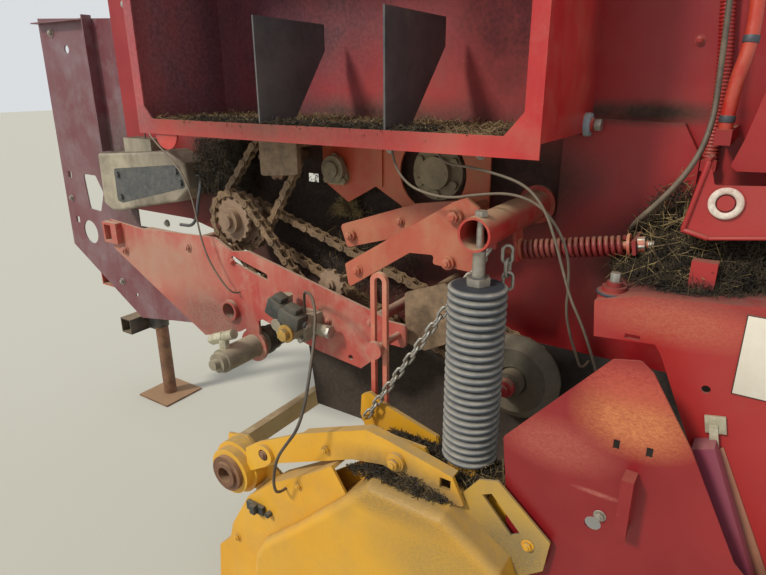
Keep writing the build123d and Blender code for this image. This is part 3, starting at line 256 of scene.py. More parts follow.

# Each paint as paint, faded paint and dust. Grime and painted shade, and scuffs and painted light, are
# (centre, reach), with their own tone where one is given.
PAINTS = {
    "red_paint": ((150, 26, 30), (184, 66, 56), DUST, {}),
    # On the box: the three patches on the back wall are painted shade, the one on the floor is dirt, the pale
    # one at the left end grey dust.
    "box_paint": ((172, 34, 36), (196, 70, 62), (170, 128, 106), dict(
        film=0.26, grime=[
            ((-0.85, -0.52, 0.70), (0.75, 0.5, 0.07), (70, 52, 42)),
            ((-1.27, -0.6, 0.9), (0.10, 0.3, 0.5), (108, 70, 76)),
            ((-0.9, -0.5, 1.0), (0.5, 0.1, 0.34), (84, 50, 54)),
            ((-0.42, -0.5, 1.0), (0.26, 0.1, 0.5), (74, 26, 28)),
            ((-1.13, -0.47, 1.0), (0.26, 0.16, 0.6), (72, 36, 44))])),
    # On the wall: the dark patches behind the chains and under the twine box and ledge are painted shade; the
    # thin one along the ledge at z 0.735 is debris.
    "wall_paint": ((138, 20, 26), (158, 34, 36), (128, 84, 68), dict(
        film=0.2, grime_tone=(58, 44, 36), grime=[
            ((-0.95, -0.48, 0.45), (0.75, 0.3, 0.36)), ((-0.05, -0.48, 0.42), (0.24, 0.3, 0.16)),
            ((-0.55, -0.48, 0.62), (0.4, 0.3, 0.14)), ((-0.15, -0.5, 0.735), (0.22, 0.1, 0.03)),
            ((-0.92, -0.48, 0.38), (0.55, 0.3, 0.34), (42, 33, 27)),
            ((-1.24, -0.48, 0.53), (0.36, 0.3, 0.2), (50, 38, 30)),
            ((-0.36, -0.48, 0.58), (0.2, 0.2, 0.12), (46, 34, 28))])),
    # Front panel: its red is darkened to maroon as painted shade, under a film of grey dust.
    "panel_paint": ((104, 46, 52), (116, 80, 84), (136, 124, 128), dict(
        film=0.6, grime_tone=(76, 66, 64), grime=[((-1.75, -0.48, 0.45), (0.3, 0.3, 0.3))])),
    # On the low wall: the dark patches behind the chains are painted shade, the darkest at the rear.
    "low_wall_paint": ((60, 48, 42), (74, 60, 50), (108, 92, 72), dict(
        film=0.55, rust=0.5, grime_tone=(50, 42, 35), grime=[
            ((-0.45, -0.53, 0.12), (0.9, 0.3, 0.4)), ((-0.85, -0.53, 0.05), (0.4, 0.3, 0.3)),
            ((-0.12, -0.53, 0.14), (0.32, 0.2, 0.3), (34, 29, 25))])),
    # Lower plate: a darker patch low down and a paler one above it.
    "plate_paint": ((166, 58, 52), (180, 104, 88), (178, 150, 128), dict(
        film=0.75, scuffs=[
            ((-1.22, -0.67, 0.13), (0.26, 0.1, 0.12), (96, 66, 58)),
            ((-1.42, -0.67, 0.27), (0.34, 0.1, 0.11), (160, 124, 104))])),
    "arm_paint": ((158, 50, 42), (176, 96, 72), (172, 128, 94), dict(film=0.7)),
    # Door: its red is darkened as painted shade, and the pale patches near its top are painted light, partly
    # grime.
    "door_paint": ((122, 20, 26), (138, 32, 34), (140, 66, 54), dict(
        film=0.12, rust=0.4, scuffs=[
            ((-0.02, -0.85, 0.285), (0.11, 0.1, 0.075), (206, 128, 78)),
            ((-0.14, -0.85, 0.20), (0.12, 0.1, 0.06), (164, 84, 70)),
            ((-0.03, -0.85, 0.345), (0.12, 0.1, 0.05), (180, 78, 62)),
            ((-0.06, -0.85, 0.13), (0.05, 0.1, 0.006), (170, 96, 84))])),
    "frame_paint": ((150, 27, 30), (162, 44, 42), (138, 80, 66), dict(
        film=0.18, grime=[((0.02, -0.70, 0.466), (0.24, 0.09, 0.03), (80, 38, 34))],
        scuffs=[
            ((0.0, -0.76, 0.43), (0.16, 0.05, 0.05), (176, 96, 74)),
            ((0.10, -0.70, 0.62), (0.12, 0.05, 0.06), (160, 60, 56))])),
    "orange_paint": ((180, 66, 40), (196, 98, 62), (178, 130, 94), dict(film=0.65)),
    "yellow_paint": ((206, 148, 28), (214, 164, 54), (168, 138, 84), dict(
        film=0.42, rust=0.9, grime_tone=(96, 78, 52), grime=[
            ((-0.44, -0.85, 0.02), (0.2, 0.12, 0.07)), ((-0.35, -0.9, -0.02), (0.2, 0.1, 0.07))])),
    "cover_yellow": ((206, 150, 30), (200, 152, 48), (158, 130, 78), dict(
        film=0.32, rust=0.6, scuffs=[
            ((-0.45, -0.93, -0.005), (0.25, 0.12, 0.05), (132, 106, 60)),
            ((-0.3, -0.93, -0.1), (0.22, 0.1, 0.13), (150, 120, 62)),
            ((-0.66, -0.93, -0.06), (0.16, 0.1, 0.05), (150, 116, 56))])),
    "dusty_yellow": ((178, 140, 58), (164, 136, 78), (140, 120, 86), dict(
        film=0.7, rust=0.9, scuffs=[((-0.2, -0.86, -0.05), (0.12, 0.1, 0.1), (104, 96, 78))])),
    "gear_case": ((166, 156, 134), (128, 118, 102), (84, 74, 60), dict(
        film=0.75, rust=0.4, grime=[((-1.38, -0.60, 0.60), (0.12, 0.2, 0.16), (70, 58, 46))])),
    "black_paint": ((38, 36, 35), (58, 54, 50), (130, 112, 88), dict(film=0.6, rust=0.5)),
    "cream_paint": ((188, 172, 126), (204, 190, 150), (150, 126, 94), dict(film=0.5)),
    "folded_edge": ((122, 44, 62), (128, 60, 76), (138, 84, 84), dict(film=0.2, rust=0.3)),
    "muddy_strip": ((140, 70, 56), (156, 112, 88), (120, 96, 76), dict(film=0.8, rust=0.9)),
    "red_cap": ((150, 40, 44), (168, 70, 66), (150, 110, 90), dict(film=0.3, rust=0.3)),
    "dusty_link": ((178, 78, 64), (190, 118, 96), (198, 160, 128), dict(film=0.7)),
    "spring_paint": ((106, 18, 24), (126, 38, 36), (128, 92, 70), dict(film=0.45)),
    "blank_plate": ((222, 216, 202), (212, 204, 188), (176, 160, 132), dict(film=0.25, rust=0.0)),
    "black_edge": ((30, 26, 26), (40, 36, 34), (120, 100, 80), dict(film=0.2, rust=0.0)),
    "red_hose": ((168, 40, 30), (196, 92, 66), (190, 140, 110), dict(film=0.3, rust=0.0, gloss=0.3)),
    "conduit_red": ((150, 34, 34), (170, 60, 54), (150, 110, 90), dict(film=0.3, rust=0.0)),
}

# Each metal or rubber as dark, light and dust, and the dust's share
METALS = {
    "tan_dirt": ((98, 80, 62), (146, 120, 92), (160, 134, 104), 0.5, dict(grain=110)),
    "dark_steel": ((66, 68, 72), (88, 88, 90), (116, 104, 90), 0.4, dict(gloss=0.5, grain=24)),
    "dusty_casting": ((118, 104, 82), (164, 148, 116), (186, 168, 132), 0.6, dict(grain=30)),
    "gear_cover": ((56, 58, 60), (80, 82, 82), (124, 118, 104), 0.4, dict(grain=190)),
    "disc_wheel": ((72, 67, 57), (94, 87, 74), (112, 98, 78), 0.6, dict(grain=34)),
    "fitting": ((150, 144, 122), (196, 190, 166), (150, 136, 110), 0.4, dict(metal=0.2)),
    "dark_nut": ((44, 48, 56), (66, 70, 76), (110, 104, 92), 0.3, dict(gloss=0.45)),
    "cylinder": ((116, 108, 92), (146, 136, 116), (170, 158, 134), 0.5, dict(grain=34)),
    "zinc": ((150, 148, 140), (186, 184, 176), (150, 128, 98), 0.4, dict(metal=0.7, gloss=0.35)),
    "dusty_chain": ((84, 66, 50), (126, 102, 78), (170, 140, 104), 0.6, dict(metal=0.2)),
    "rusty_steel": ((84, 52, 38), (124, 84, 60), (158, 126, 94), 0.55, dict(metal=0.1)),
    "dusty_wheel": ((112, 88, 70), (146, 120, 98), (160, 136, 110), 0.7, dict(grain=26)),
    "solenoid": ((34, 36, 36), (58, 60, 58), (118, 108, 90), 0.4, dict(gloss=0.45, grain=50)),
    "brass": ((168, 128, 60), (206, 168, 88), (150, 128, 90), 0.4, dict(metal=0.6, gloss=0.35)),
    "rubber_disc": ((118, 132, 140), (150, 162, 168), (160, 150, 130), 0.3, dict(gloss=0.6)),
    "grey_cable": ((84, 74, 64), (114, 102, 86), (140, 122, 98), 0.35, dict(grain=40)),
    "black_cable": ((46, 42, 40), (70, 64, 58), (140, 118, 92), 0.35, dict(grain=40)),
    "pale_ring": ((206, 196, 178), (222, 214, 200), (150, 56, 50), 0.75, dict(gloss=0.7, grain=70)),
}


def boot_rubber():
    """Grey black rubber: pale pleat edges, with painted shade darkening the valleys between them."""
    material, tree, shader, place = blank_finish("boot_rubber")
    patch = noise(tree, place, 26, 6, 0.7)
    colour = blend(tree, level(tree, patch, 0.35, 0.65), tone(66, 72, 82), tone(92, 97, 102))
    lying = facing_up(tree, 0.1, 0.85)
    dust = combine(tree, "MULTIPLY", lying, level(tree, noise(tree, place, 55, 6), 0.3, 0.65, 0.4, 0.95))
    colour = blend(tree, dust, colour, tone(168, 160, 144))
    # Painted shade: the pleat valleys, nearer the axis, are darkened.
    valley_shade = near(tree, place, (BOOT_X, BOOT_Y, 0.2), (BOOT_R, BOOT_R, 100))
    colour = blend(tree, level(tree, valley_shade, 0.05, 0.26), colour, tone(42, 45, 50))
    tree.links.new(colour, shader.inputs["Base Color"])
    tree.links.new(level(tree, dust, 0, 1, 0.5, 0.9), shader.inputs["Roughness"])
    bumps(tree, shader, patch, 0.2, 0.001)
    return material


def straw_finish(name, dark, light):
    material, tree, shader, place = blank_finish(name)
    shade = level(tree, noise(tree, place, 40, 3), 0.35, 0.65)
    tree.links.new(blend(tree, shade, tone(*dark), tone(*light)), shader.inputs["Base Color"])
    shader.inputs["Roughness"].default_value = 0.9
    return material


# Each stalk's dark and light tone
STALKS = {
    "hay": ((96, 78, 50), (170, 148, 100)),
    "box_hay": ((66, 52, 38), (138, 116, 80)),
    "dark_hay": ((30, 26, 20), (74, 62, 44)),
}

FINISH = {name: worn_paint(name, *tones, **how) for name, (*tones, how) in PAINTS.items()}
FINISH |= {name: dirty_metal(name, *tones, **how) for name, (*tones, how) in METALS.items()}
FINISH |= {name: straw_finish(name, *tones) for name, tones in STALKS.items()}
FINISH["boot_rubber"] = boot_rubber()

NODE_FINISH = {
    "side_wall": "wall_paint", "low_wall": "low_wall_paint", "twine_box": "box_paint",
    "lower_plate": "plate_paint", "tensioner_arm": "arm_paint", "rear_arm": "arm_paint",
    "door": "door_paint", "rear_frame": "frame_paint",
    "upper_plate": "orange_paint", "pickup_cover": "cover_yellow", "gear_cover": "gear_cover",
    "roll_bearings": "dusty_casting", "ring_bracket": "frame_paint", "front_panel": "panel_paint",
    "drive_wheels": "dusty_wheel", "spring_rod": "arm_paint", "idler_wheel": "dusty_wheel",
    "tan_plate": "tan_dirt", "chain_cover": "tan_dirt", "rear_plate": "dusty_yellow",
    "gear_case": "gear_case", "disc_wheel": "disc_wheel", "cylinder": "cylinder", "valve_block": "cylinder",
}


def finish_cad_nodes():
    """Each CAD node gets the finish of its own, or that of its slot in the record."""
    slots = {part["node"]: part["material_slot"] for part in frame["record"]["subparts"]}
    for name, node in NODES.items():
        node.data.materials.clear()
        node.data.materials.append(FINISH[NODE_FINISH.get(name, slots[name])])


# Modelling helpers

def start():
    """Object mode with nothing selected, before each new piece."""
    if bpy.context.object and bpy.context.object.mode != "OBJECT":
        bpy.ops.object.mode_set(mode="OBJECT")
    bpy.ops.object.select_all(action="DESELECT")


def apply_place(piece):
    start()
    piece.select_set(True)
    bpy.context.view_layer.objects.active = piece
    bpy.ops.object.transform_apply(location=True, rotation=True, scale=True)


def join(pieces, name):
    start()
    for piece in pieces:
        piece.select_set(True)
    bpy.context.view_layer.objects.active = pieces[0]
    if len(pieces) > 1:
        bpy.ops.object.join()
    joined = bpy.context.object
    joined.name = name
    joined.data.name = name
    return joined


def settle(piece, name, finish, body, smooth=40):
    """Names a finished piece, puts its place into its mesh and lets it ride on its body."""
    piece.name = name
    piece.data.name = name
    apply_place(piece)
    piece.data.materials.clear()
    piece.data.materials.append(FINISH[finish])
    if smooth:
        bpy.ops.object.shade_smooth_by_angle(angle=radians(smooth))
    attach(piece, body)
    return piece


def soften(piece, width, segments=2):
    """Rounds all sharp edges."""
    bevel = piece.modifiers.new("edges", "BEVEL")
    bevel.width = width
    bevel.segments = segments
    bevel.limit_method = "ANGLE"
    bpy.context.view_layer.objects.active = piece
    bpy.ops.object.modifier_apply(modifier=bevel.name)
    return piece


def turned_to(start_point, end_point):
    """Place whose Z runs from one point to the other."""
    way = (end_point - start_point).normalized()
    return Matrix.Translation(start_point) @ way.to_track_quat("Z", "X").to_matrix().to_4x4()


def rod(x, z, r, y0, y1, sides=24):
    """Round bar across the machine, with softened rims."""
    start()
    length = abs(y1 - y0)
    bpy.ops.mesh.primitive_cylinder_add(
        vertices=sides, radius=r, depth=length, location=(x, (y0 + y1) / 2, z), rotation=(pi / 2, 0, 0))
    return soften(bpy.context.object, min(r, length) * 0.15)


def turned_part(start_point, end_point, radius, sides, edge=0.001):
    """Round or six-sided bar between two points, with softened rims."""
    way = Vector(end_point) - Vector(start_point)
    start()
    bpy.ops.mesh.primitive_cylinder_add(vertices=sides, radius=radius, depth=way.length)
    piece = bpy.context.object
    middle = Matrix.Translation((0, 0, way.length / 2))
    piece.matrix_world = turned_to(Vector(start_point), Vector(end_point)) @ middle
    apply_place(piece)
    return soften(piece, edge)


def block(low, high, edge=0.001):
    """Box between two corners, with softened edges."""
    start()
    middle = [(a + b) / 2 for a, b in zip(low, high)]
    bpy.ops.mesh.primitive_cube_add(size=1, location=middle)
    piece = bpy.context.object
    piece.scale = [abs(b - a) for a, b in zip(low, high)]
    apply_place(piece)
    return soften(piece, edge)


def flat_bar(first, second, width, y0, y1):
    """Flat bar across the machine's side, between two (x, z) places."""
    (x0, z0), (x1, z1) = first, second
    length = hypot(x1 - x0, z1 - z0)
    bar = block((-length / 2, y0, -width / 2), (length / 2, y1, width / 2), 0.0008)
    middle = Matrix.Translation(((x0 + x1) / 2, 0, (z0 + z1) / 2))
    bar.matrix_world = middle @ Matrix.Rotation(-atan2(z1 - z0, x1 - x0), 4, "Y")
    apply_place(bar)
    return bar


def four_sided(corners, y0, y1):
    """Plate between y0 and y1, its (x, z) corners from low left round to high left."""
    start()
    bpy.ops.mesh.primitive_cube_add(size=2)
    plate = bpy.context.object
    order = {(-1, -1): 0, (1, -1): 1, (1, 1): 2, (-1, 1): 3}
    for vertex in plate.data.vertices:
        x, y, z = (round(c) for c in vertex.co)
        side = corners[order[(x, z)]]
        vertex.co = (side[0], y0 if y < 0 else y1, side[1])
    return soften(plate, 0.0006, 1)


def copy_of(piece):
    twin = piece.copy()
    twin.data = piece.data.copy()
    bpy.context.scene.collection.objects.link(twin)
    return twin


def oval_link(radius, wire, pull, sides):
    """Welded link that stands up, its two half rings pulled apart along Z."""
    start()
    bpy.ops.mesh.primitive_torus_add(
        major_radius=radius, minor_radius=wire, major_segments=sides, minor_segments=10,
        rotation=(pi / 2, 0, 0))
    link = bpy.context.object
    apply_place(link)
    for vertex in link.data.vertices:
        vertex.co.z += pull if vertex.co.z > 0 else -pull
    return link


def place_copies(model, spots, name):
    """Copies of a model at each 4x4 place, joined; the model goes."""
    made = []
    for spot in spots:
        twin = copy_of(model)
        twin.data.transform(spot @ model.matrix_world)
        twin.matrix_world = Matrix.Identity(4)
        made.append(twin)
    bpy.data.objects.remove(model)
    return join(made, name)


# Bolts

def bolt_stage(sides, radius, depth, y, edge, segments):
    """One turned or six-sided stage of a bolt, centred at y."""
    start()
    bpy.ops.mesh.primitive_cylinder_add(
        vertices=sides, radius=radius, depth=depth, location=(0, y, 0), rotation=(pi / 2, 0, 0))
    return soften(bpy.context.object, edge, segments)


def bolt_model():
    """Hexagon head on its washer, 20 mm over its corners, looking along -Y."""
    head = bolt_stage(6, 0.010, 0.007, -0.0055, 0.0009, 2)
    washer = bolt_stage(20, 0.0135, 0.002, -0.001, 0.0004, 1)
    end = bolt_stage(12, 0.0055, 0.003, -0.0105, 0.0008, 1)
    bolt = join([head, washer, end], "bolt")
    apply_place(bolt)
    return bolt


# Columns: body, finish, then (x, face y, z, size against the model)
BOLTS = {
    "frame_bolts": ("frame", "zinc", [
        (-1.700, UPPER_Y + 0.04, 1.02, 1.2), (-2.150, WALL_Y, 0.955, 1.0), (-2.205, WALL_Y, 0.36, 0.9),
        (-1.630, WALL_Y, 0.33, 1.0), (-1.950, WALL_Y, 0.06, 1.0), (-0.690, UPPER_Y, 0.640, 1.0),
        (-0.455, UPPER_Y, 0.640, 0.9), (-0.455, UPPER_Y, 0.500, 0.9), (-0.640, UPPER_Y, 0.480, 0.8),
        (-0.800, UPPER_Y, 0.650, 0.9)]),
    "wall_bolts": ("frame", "red_paint", [(-0.060, WALL_Y, 0.86, 0.7), (0.060, WALL_Y, 0.98, 0.7)]),
    "plate_bolts": ("frame", "plate_paint", [
        (-1.600, LOWER_Y, 0.285, 1.2), (-1.290, LOWER_Y, 0.340, 1.0), (-0.650, LOWER_Y, 0.250, 0.9),
        (-1.110, LOWER_Y, 0.325, 0.8), (-0.780, LOWER_Y, 0.225, 0.8)]),
    "arm_bolts": ("frame", "arm_paint", [
        (-0.664, ARM_Y, 0.386, 1.1), (-0.420, ARM_Y - 0.008, 0.540, 1.2), (-0.433, ARM_Y - 0.006, 0.442, 1.1),
        (-0.738, -0.628, 0.441, 1.0), (-0.600, -0.620, 0.492, 0.9)]),
    "pickup_bolts": ("pickup", "yellow_paint", [
        (-0.444, PICK_Y - 0.010, 0.066, 1.2), (-0.629, PICK_Y - 0.006, 0.025, 0.7),
        (-0.166, -0.866, -0.020, 0.9), (-0.290, -0.866, -0.030, 0.8), (-0.700, FRONT_PLATE_Y, -0.090, 0.8),
        (-0.930, FRONT_PLATE_Y, -0.350, 0.9)]),
    "hub_bolt": ("pickup", "rusty_steel", [(-0.820, PICK_Y, -0.060, 1.3)]),
    "door_bolts": ("side_door", "zinc", [(-0.052, DOOR_Y, 0.089, 0.8), (0.150, DOOR_Y, -0.040, 0.7)]),
}


def make_bolts():
    for name, (body, finish, rows) in BOLTS.items():
        spots = []
        for i, (x, y, z, size) in enumerate(rows):
            turn = Matrix.Rotation(radians(17 * i), 4, "Y")
            spots.append(Matrix.Translation((x, y, z)) @ turn @ Matrix.Scale(size, 4))
        settle(place_copies(bolt_model(), spots, name), name, finish, body)


# Roller chains

def chain_pins(first, second):
    """Pin centres round two wheels, each (x, z, pitch radius)."""
    (x1, z1, r1), (x2, z2, r2) = first, second
    dx, dz = x2 - x1, z2 - z1
    run = (dx ** 2 + dz ** 2 - (r1 - r2) ** 2) ** 0.5
    lean = atan2(r1 - r2, run)
    axis = atan2(dz, dx)
    up, down = axis + pi / 2 - lean, axis - pi / 2 + lean
    turns = [(r1 * (pi + 2 * lean)), (r2 * (pi - 2 * lean))]
    total = 2 * run + sum(turns)
    count = 2 * round(total / PITCH / 2)

    def on_line(angle, share, back):
        a = Vector((x1 + r1 * cos(angle), z1 + r1 * sin(angle)))
        b = Vector((x2 + r2 * cos(angle), z2 + r2 * sin(angle)))
        return b.lerp(a, share) if back else a.lerp(b, share)

    pins = []
    for i in range(count):
        s = total * i / count
        if s < run:
            pins.append(on_line(up, s / run, False))
        elif s < run + turns[1]:
            a = up - (s - run) / r2
            pins.append(Vector((x2 + r2 * cos(a), z2 + r2 * sin(a))))
        elif s < 2 * run + turns[1]:
            pins.append(on_line(down, (s - run - turns[1]) / run, True))
        else:
            a = down - (s - 2 * run - turns[1]) / r1
            pins.append(Vector((x1 + r1 * cos(a), z1 + r1 * sin(a))))
    return pins


def link_plate(y):
    """Waisted chain plate between two pins, the first at the origin."""
    start()
    bpy.ops.mesh.primitive_cylinder_add(
        vertices=16, radius=LINK_PLATE_H / 2, depth=LINK_PLATE_T, location=(0, y, 0),
        rotation=(pi / 2, pi / 16, 0))
    plate = bpy.context.object
    apply_place(plate)
    for vertex in plate.data.vertices:
        vertex.co.x += PITCH if vertex.co.x > 0 else 0
    bpy.ops.object.mode_set(mode="EDIT")
    bpy.ops.mesh.select_all(action="SELECT")
    bpy.ops.mesh.bisect(plane_co=(PITCH / 2, 0, 0), plane_no=(1, 0, 0))
    bpy.ops.transform.resize(value=(1, 1, 0.66))
    bpy.ops.object.mode_set(mode="OBJECT")
    return plate


def link_model(outer):
    """Outer link with its pins' ends, or inner link with its rollers."""
    side = 0.0112 if outer else 0.0078
    pieces = [link_plate(side), link_plate(-side)]
    for x in (0, PITCH):
        start()
        bpy.ops.mesh.primitive_cylinder_add(
            vertices=12, radius=0.0040 if outer else 0.0078, depth=0.0275 if outer else 0.0125,
            location=(x, 0, 0), rotation=(pi / 2, 0, 0))
        pieces.append(soften(bpy.context.object, 0.0008, 1))
    link = join(pieces, "link")
    apply_place(link)
    return link


CHAINS = {
    "upper_chain": ((*DRIVE, 0.086), UPPER_WHEEL, -0.594),
    "front_chain": ((*DRIVE, 0.075), LOWER_WHEEL, -0.632),
    "main_chain": ((*DRIVE, 0.042), DISC_WHEEL, -0.556),
}


def make_chains():
    for name, (first, second, y) in CHAINS.items():
        pins = chain_pins(first, second)
        spots = ([], [])
        for i, pin in enumerate(pins):
            ahead = pins[(i + 1) % len(pins)] - pin
            turn = Matrix.Rotation(-atan2(ahead.y, ahead.x), 4, "Y")
            reach = Matrix.Scale(ahead.length / PITCH, 4, (1, 0, 0))
            spots[i % 2].append(Matrix.Translation((pin.x, y, pin.y)) @ turn @ reach)
        halves = [place_copies(link_model(outer), spots[outer], f"{name}_{outer}") for outer in (0, 1)]
        piece = settle(join(halves, name), f"{name}_links", "dusty_chain", "frame", 30)
        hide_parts(name)


# Boot, spring and lift chain

def make_boot():
    """Rolled pleats between two clamped ends."""
    start()
    bpy.ops.mesh.primitive_circle_add(
        vertices=40, radius=BOOT_NECK_R, fill_type="NGON", location=(BOOT_X, BOOT_Y, BOOT_TOP))
    boot = bpy.context.object
    apply_place(boot)
    step = (BOOT_TOP - BOOT_BOTTOM) / BOOT_PLEATS
    # Each pleat as (share of the pleat's height, radius), out to its edge and back into the valley
    profile = [(0.22, BOOT_R - 0.002), (0.5, BOOT_R), (0.78, BOOT_R - 0.002), (1.0, BOOT_R - BOOT_VALLEY)]
    bpy.ops.object.mode_set(mode="EDIT")
    bpy.ops.mesh.select_all(action="SELECT")
    radius, share = BOOT_NECK_R, 0.0
    for _ in range(BOOT_PLEATS):
        for at, r in profile:
            drop = {"value": (0, 0, -(at - share) * step)}
            bpy.ops.mesh.extrude_region_move(TRANSFORM_OT_translate=drop)
            bpy.ops.transform.resize(value=(r / radius, r / radius, 1))
            radius, share = r, at % 1.0
    bpy.ops.mesh.select_all(action="SELECT")
    bpy.ops.mesh.normals_make_consistent(inside=False)
    bpy.ops.object.mode_set(mode="OBJECT")
    smooth = boot.modifiers.new("smooth", "SUBSURF")
    smooth.levels = smooth.render_levels = 1
    bpy.ops.object.modifier_apply(modifier=smooth.name)
    settle(boot, "pleated_boot", "boot_rubber", "frame", 60)
    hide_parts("boot")
    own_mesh(boot)


def make_spring():
    """Wound coil between its two seats."""
    start()
    length = (SPRING_END - SPRING_START).length - SPRING_SEAT
    bpy.ops.mesh.primitive_circle_add(
        vertices=8, radius=SPRING_WIRE, location=(SPRING_R, 0, SPRING_SEAT + SPRING_WIRE),
        rotation=(pi / 2, 0, 0))
    coil = bpy.context.object
    apply_place(coil)
    screw = coil.modifiers.new("turns", "SCREW")
    screw.iterations = SPRING_TURNS
    screw.screw_offset = (length - 2 * SPRING_WIRE) / SPRING_TURNS
    screw.steps = screw.render_steps = 24
    screw.use_normal_calculate = True
    bpy.ops.object.modifier_apply(modifier=screw.name)
    bpy.ops.object.mode_set(mode="EDIT")
    bpy.ops.mesh.select_all(action="SELECT")
    bpy.ops.mesh.fill_holes(sides=0)
    bpy.ops.mesh.normals_make_consistent(inside=False)
    bpy.ops.object.mode_set(mode="OBJECT")
    coil.data.transform(turned_to(SPRING_START, SPRING_END))
    settle(coil, "tension_coil", "spring_paint", "frame", 60)
    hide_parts("spring")


def make_lift_chain():
    """Welded links from the lift tube to the pickup's tab."""
    link = oval_link(LIFT_LINK_R, LIFT_WIRE, LIFT_LINK_R, 20)
    span = CHAIN_TOP - CHAIN_FOOT
    run = turned_to(CHAIN_FOOT, CHAIN_TOP)
    count = round(span.length / LIFT_STEP)
    step = span.length / count
    spots = []
    for i in range(count):
        quarter = Matrix.Rotation(pi / 2 * (i % 2) + 0.3, 4, "Z")
        spots.append(run @ Matrix.Translation((0, 0, step * (i + 0.5))) @ quarter)
    chain = settle(place_copies(link, spots, "lift_links"), "lift_links", "zinc", "frame", 60)
    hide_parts("lift_chain")
    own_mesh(chain)


# Hoses and wires

RIB_PITCH, RIB_R = 0.0062, 0.0020
BAND_PLACES, BAND_WIDTH, BAND_T = (0.440, 0.560), 0.011, 0.0012

# Each as finish, slot, radius, real length and stiffness, then its route
CORDS = {
    "conduit": ("conduit_red", "red_hose", 0.011, 0.6351, "medium", [
        (-0.036, -0.4933, 1.2896), (-0.031, -0.4933, 1.110), (-0.027, -0.4933, 0.930),
        (-0.014, -0.4933, 0.830), (-0.011, -0.4933, 0.735), (-0.011, -0.4934, 0.6553)]),
    "red_hose": ("red_hose", "red_hose", 0.011, 0.5763, "stiff", [
        (0.008, -0.560, 1.290), (0.0081, -0.560, 1.150), (0.018, -0.584, 0.980), (0.031, -0.602, 0.860),
        (0.014, -0.608, 0.780), (0.014, -0.6079, 0.718)]),
    "grey_hose": ("grey_cable", "grey_cable", 0.005, 0.8784, "medium", [
        (-0.026, -0.532, 1.290), (-0.026, -0.5321, 1.215), (-0.022, -0.538, 1.140), (-0.022, -0.541, 1.065),
        (-0.020, -0.542, 0.990), (-0.018, -0.544, 0.922), (-0.015, -0.548, 0.860), (-0.012, -0.555, 0.795),
        (-0.009, -0.566, 0.735), (-0.016, -0.592, 0.680), (-0.038, -0.606, 0.632), (-0.072, -0.610, 0.585),
        (-0.104, -0.598, 0.548), (-0.120, -0.558, 0.520), (-0.120, -0.506, 0.520)]),
    "lamp_wire": ("grey_cable", "grey_cable", 0.0025, 0.7686, "limp", [
        (-0.448, -0.738, 0.696), (-0.447, -0.739, 0.668), (-0.426, -0.744, 0.648), (-0.376, -0.748, 0.646),
        (-0.318, -0.750, 0.638), (-0.262, -0.749, 0.622), (-0.227, -0.747, 0.584), (-0.206, -0.743, 0.532),
        (-0.188, -0.738, 0.476), (-0.172, -0.731, 0.424), (-0.150, -0.722, 0.378), (-0.132, -0.710, 0.325),
        (-0.126, -0.680, 0.278), (-0.128, -0.640, 0.242), (-0.130, -0.590, 0.214), (-0.130, -0.535, 0.214)]),
    "brake_wire": ("grey_cable", "grey_cable", 0.0025, 0.839, "limp", [
        (-0.545, -0.744, 0.696), (-0.544, -0.745, 0.668), (-0.532, -0.747, 0.632), (-0.505, -0.748, 0.603),
        (-0.468, -0.747, 0.589), (-0.414, -0.744, 0.583), (-0.356, -0.740, 0.596), (-0.292, -0.736, 0.604),
        (-0.240, -0.730, 0.586), (-0.206, -0.723, 0.545), (-0.188, -0.712, 0.496), (-0.186, -0.700, 0.440),
        (-0.190, -0.688, 0.382), (-0.182, -0.668, 0.326), (-0.176, -0.630, 0.272), (-0.172, -0.590, 0.218),
        (-0.172, -0.535, 0.218)]),
    "grey_wire": ("grey_cable", "grey_cable", 0.0025, 0.7948, "limp", [
        (-1.606, -0.540, 0.621), (-1.605, -0.541, 0.650), (-1.576, -0.568, 0.666), (-1.500, -0.604, 0.650),
        (-1.432, -0.630, 0.624), (-1.372, -0.648, 0.602), (-1.318, -0.664, 0.578), (-1.262, -0.680, 0.548),
        (-1.226, -0.690, 0.498), (-1.204, -0.698, 0.440), (-1.190, -0.702, 0.382), (-1.166, -0.704, 0.328),
        (-1.130, -0.702, 0.280), (-1.092, -0.696, 0.240), (-1.092, -0.670, 0.240)]),
    "sensor_cable": ("black_cable", "black_cable", 0.0035, 0.7454, "limp", [
        (-0.830, -0.700, 0.2453), (-0.829, -0.702, 0.290), (-0.792, -0.738, 0.322), (-0.742, -0.772, 0.330),
        (-0.700, -0.812, 0.310), (-0.668, -0.858, 0.268), (-0.648, -0.900, 0.216), (-0.640, -0.930, 0.156),
        (-0.652, -0.944, 0.100), (-0.684, -0.946, 0.054), (-0.714, -0.947, 0.010), (-0.728, -0.947, -0.038),
        (-0.738, -0.942, -0.082), (-0.741, -0.928, -0.114), (-0.741, -0.9003, -0.115)]),
}


def route_line(name, route):
    """Curve object of one smooth line through the route's control points."""
    curve = bpy.data.curves.new(name, "CURVE")
    curve.dimensions = "3D"
    spline = curve.splines.new("NURBS")
    spline.points.add(len(route) - 1)
    for point, place in zip(spline.points, route):
        point.co = (*place, 1.0)
    spline.order_u = 3
    spline.use_endpoint_u = True
    spline.resolution_u = 8
    curve.resolution_u = 8
    line = bpy.data.objects.new(name, curve)
    bpy.context.scene.collection.objects.link(line)
    return line


def points_along(line):
    """Points of the smooth line, read from its curve with no thickness."""
    bpy.context.view_layer.update()
    shape = bpy.data.meshes.new_from_object(line.evaluated_get(bpy.context.evaluated_depsgraph_get()))
    return [vertex.co.copy() for vertex in shape.vertices]


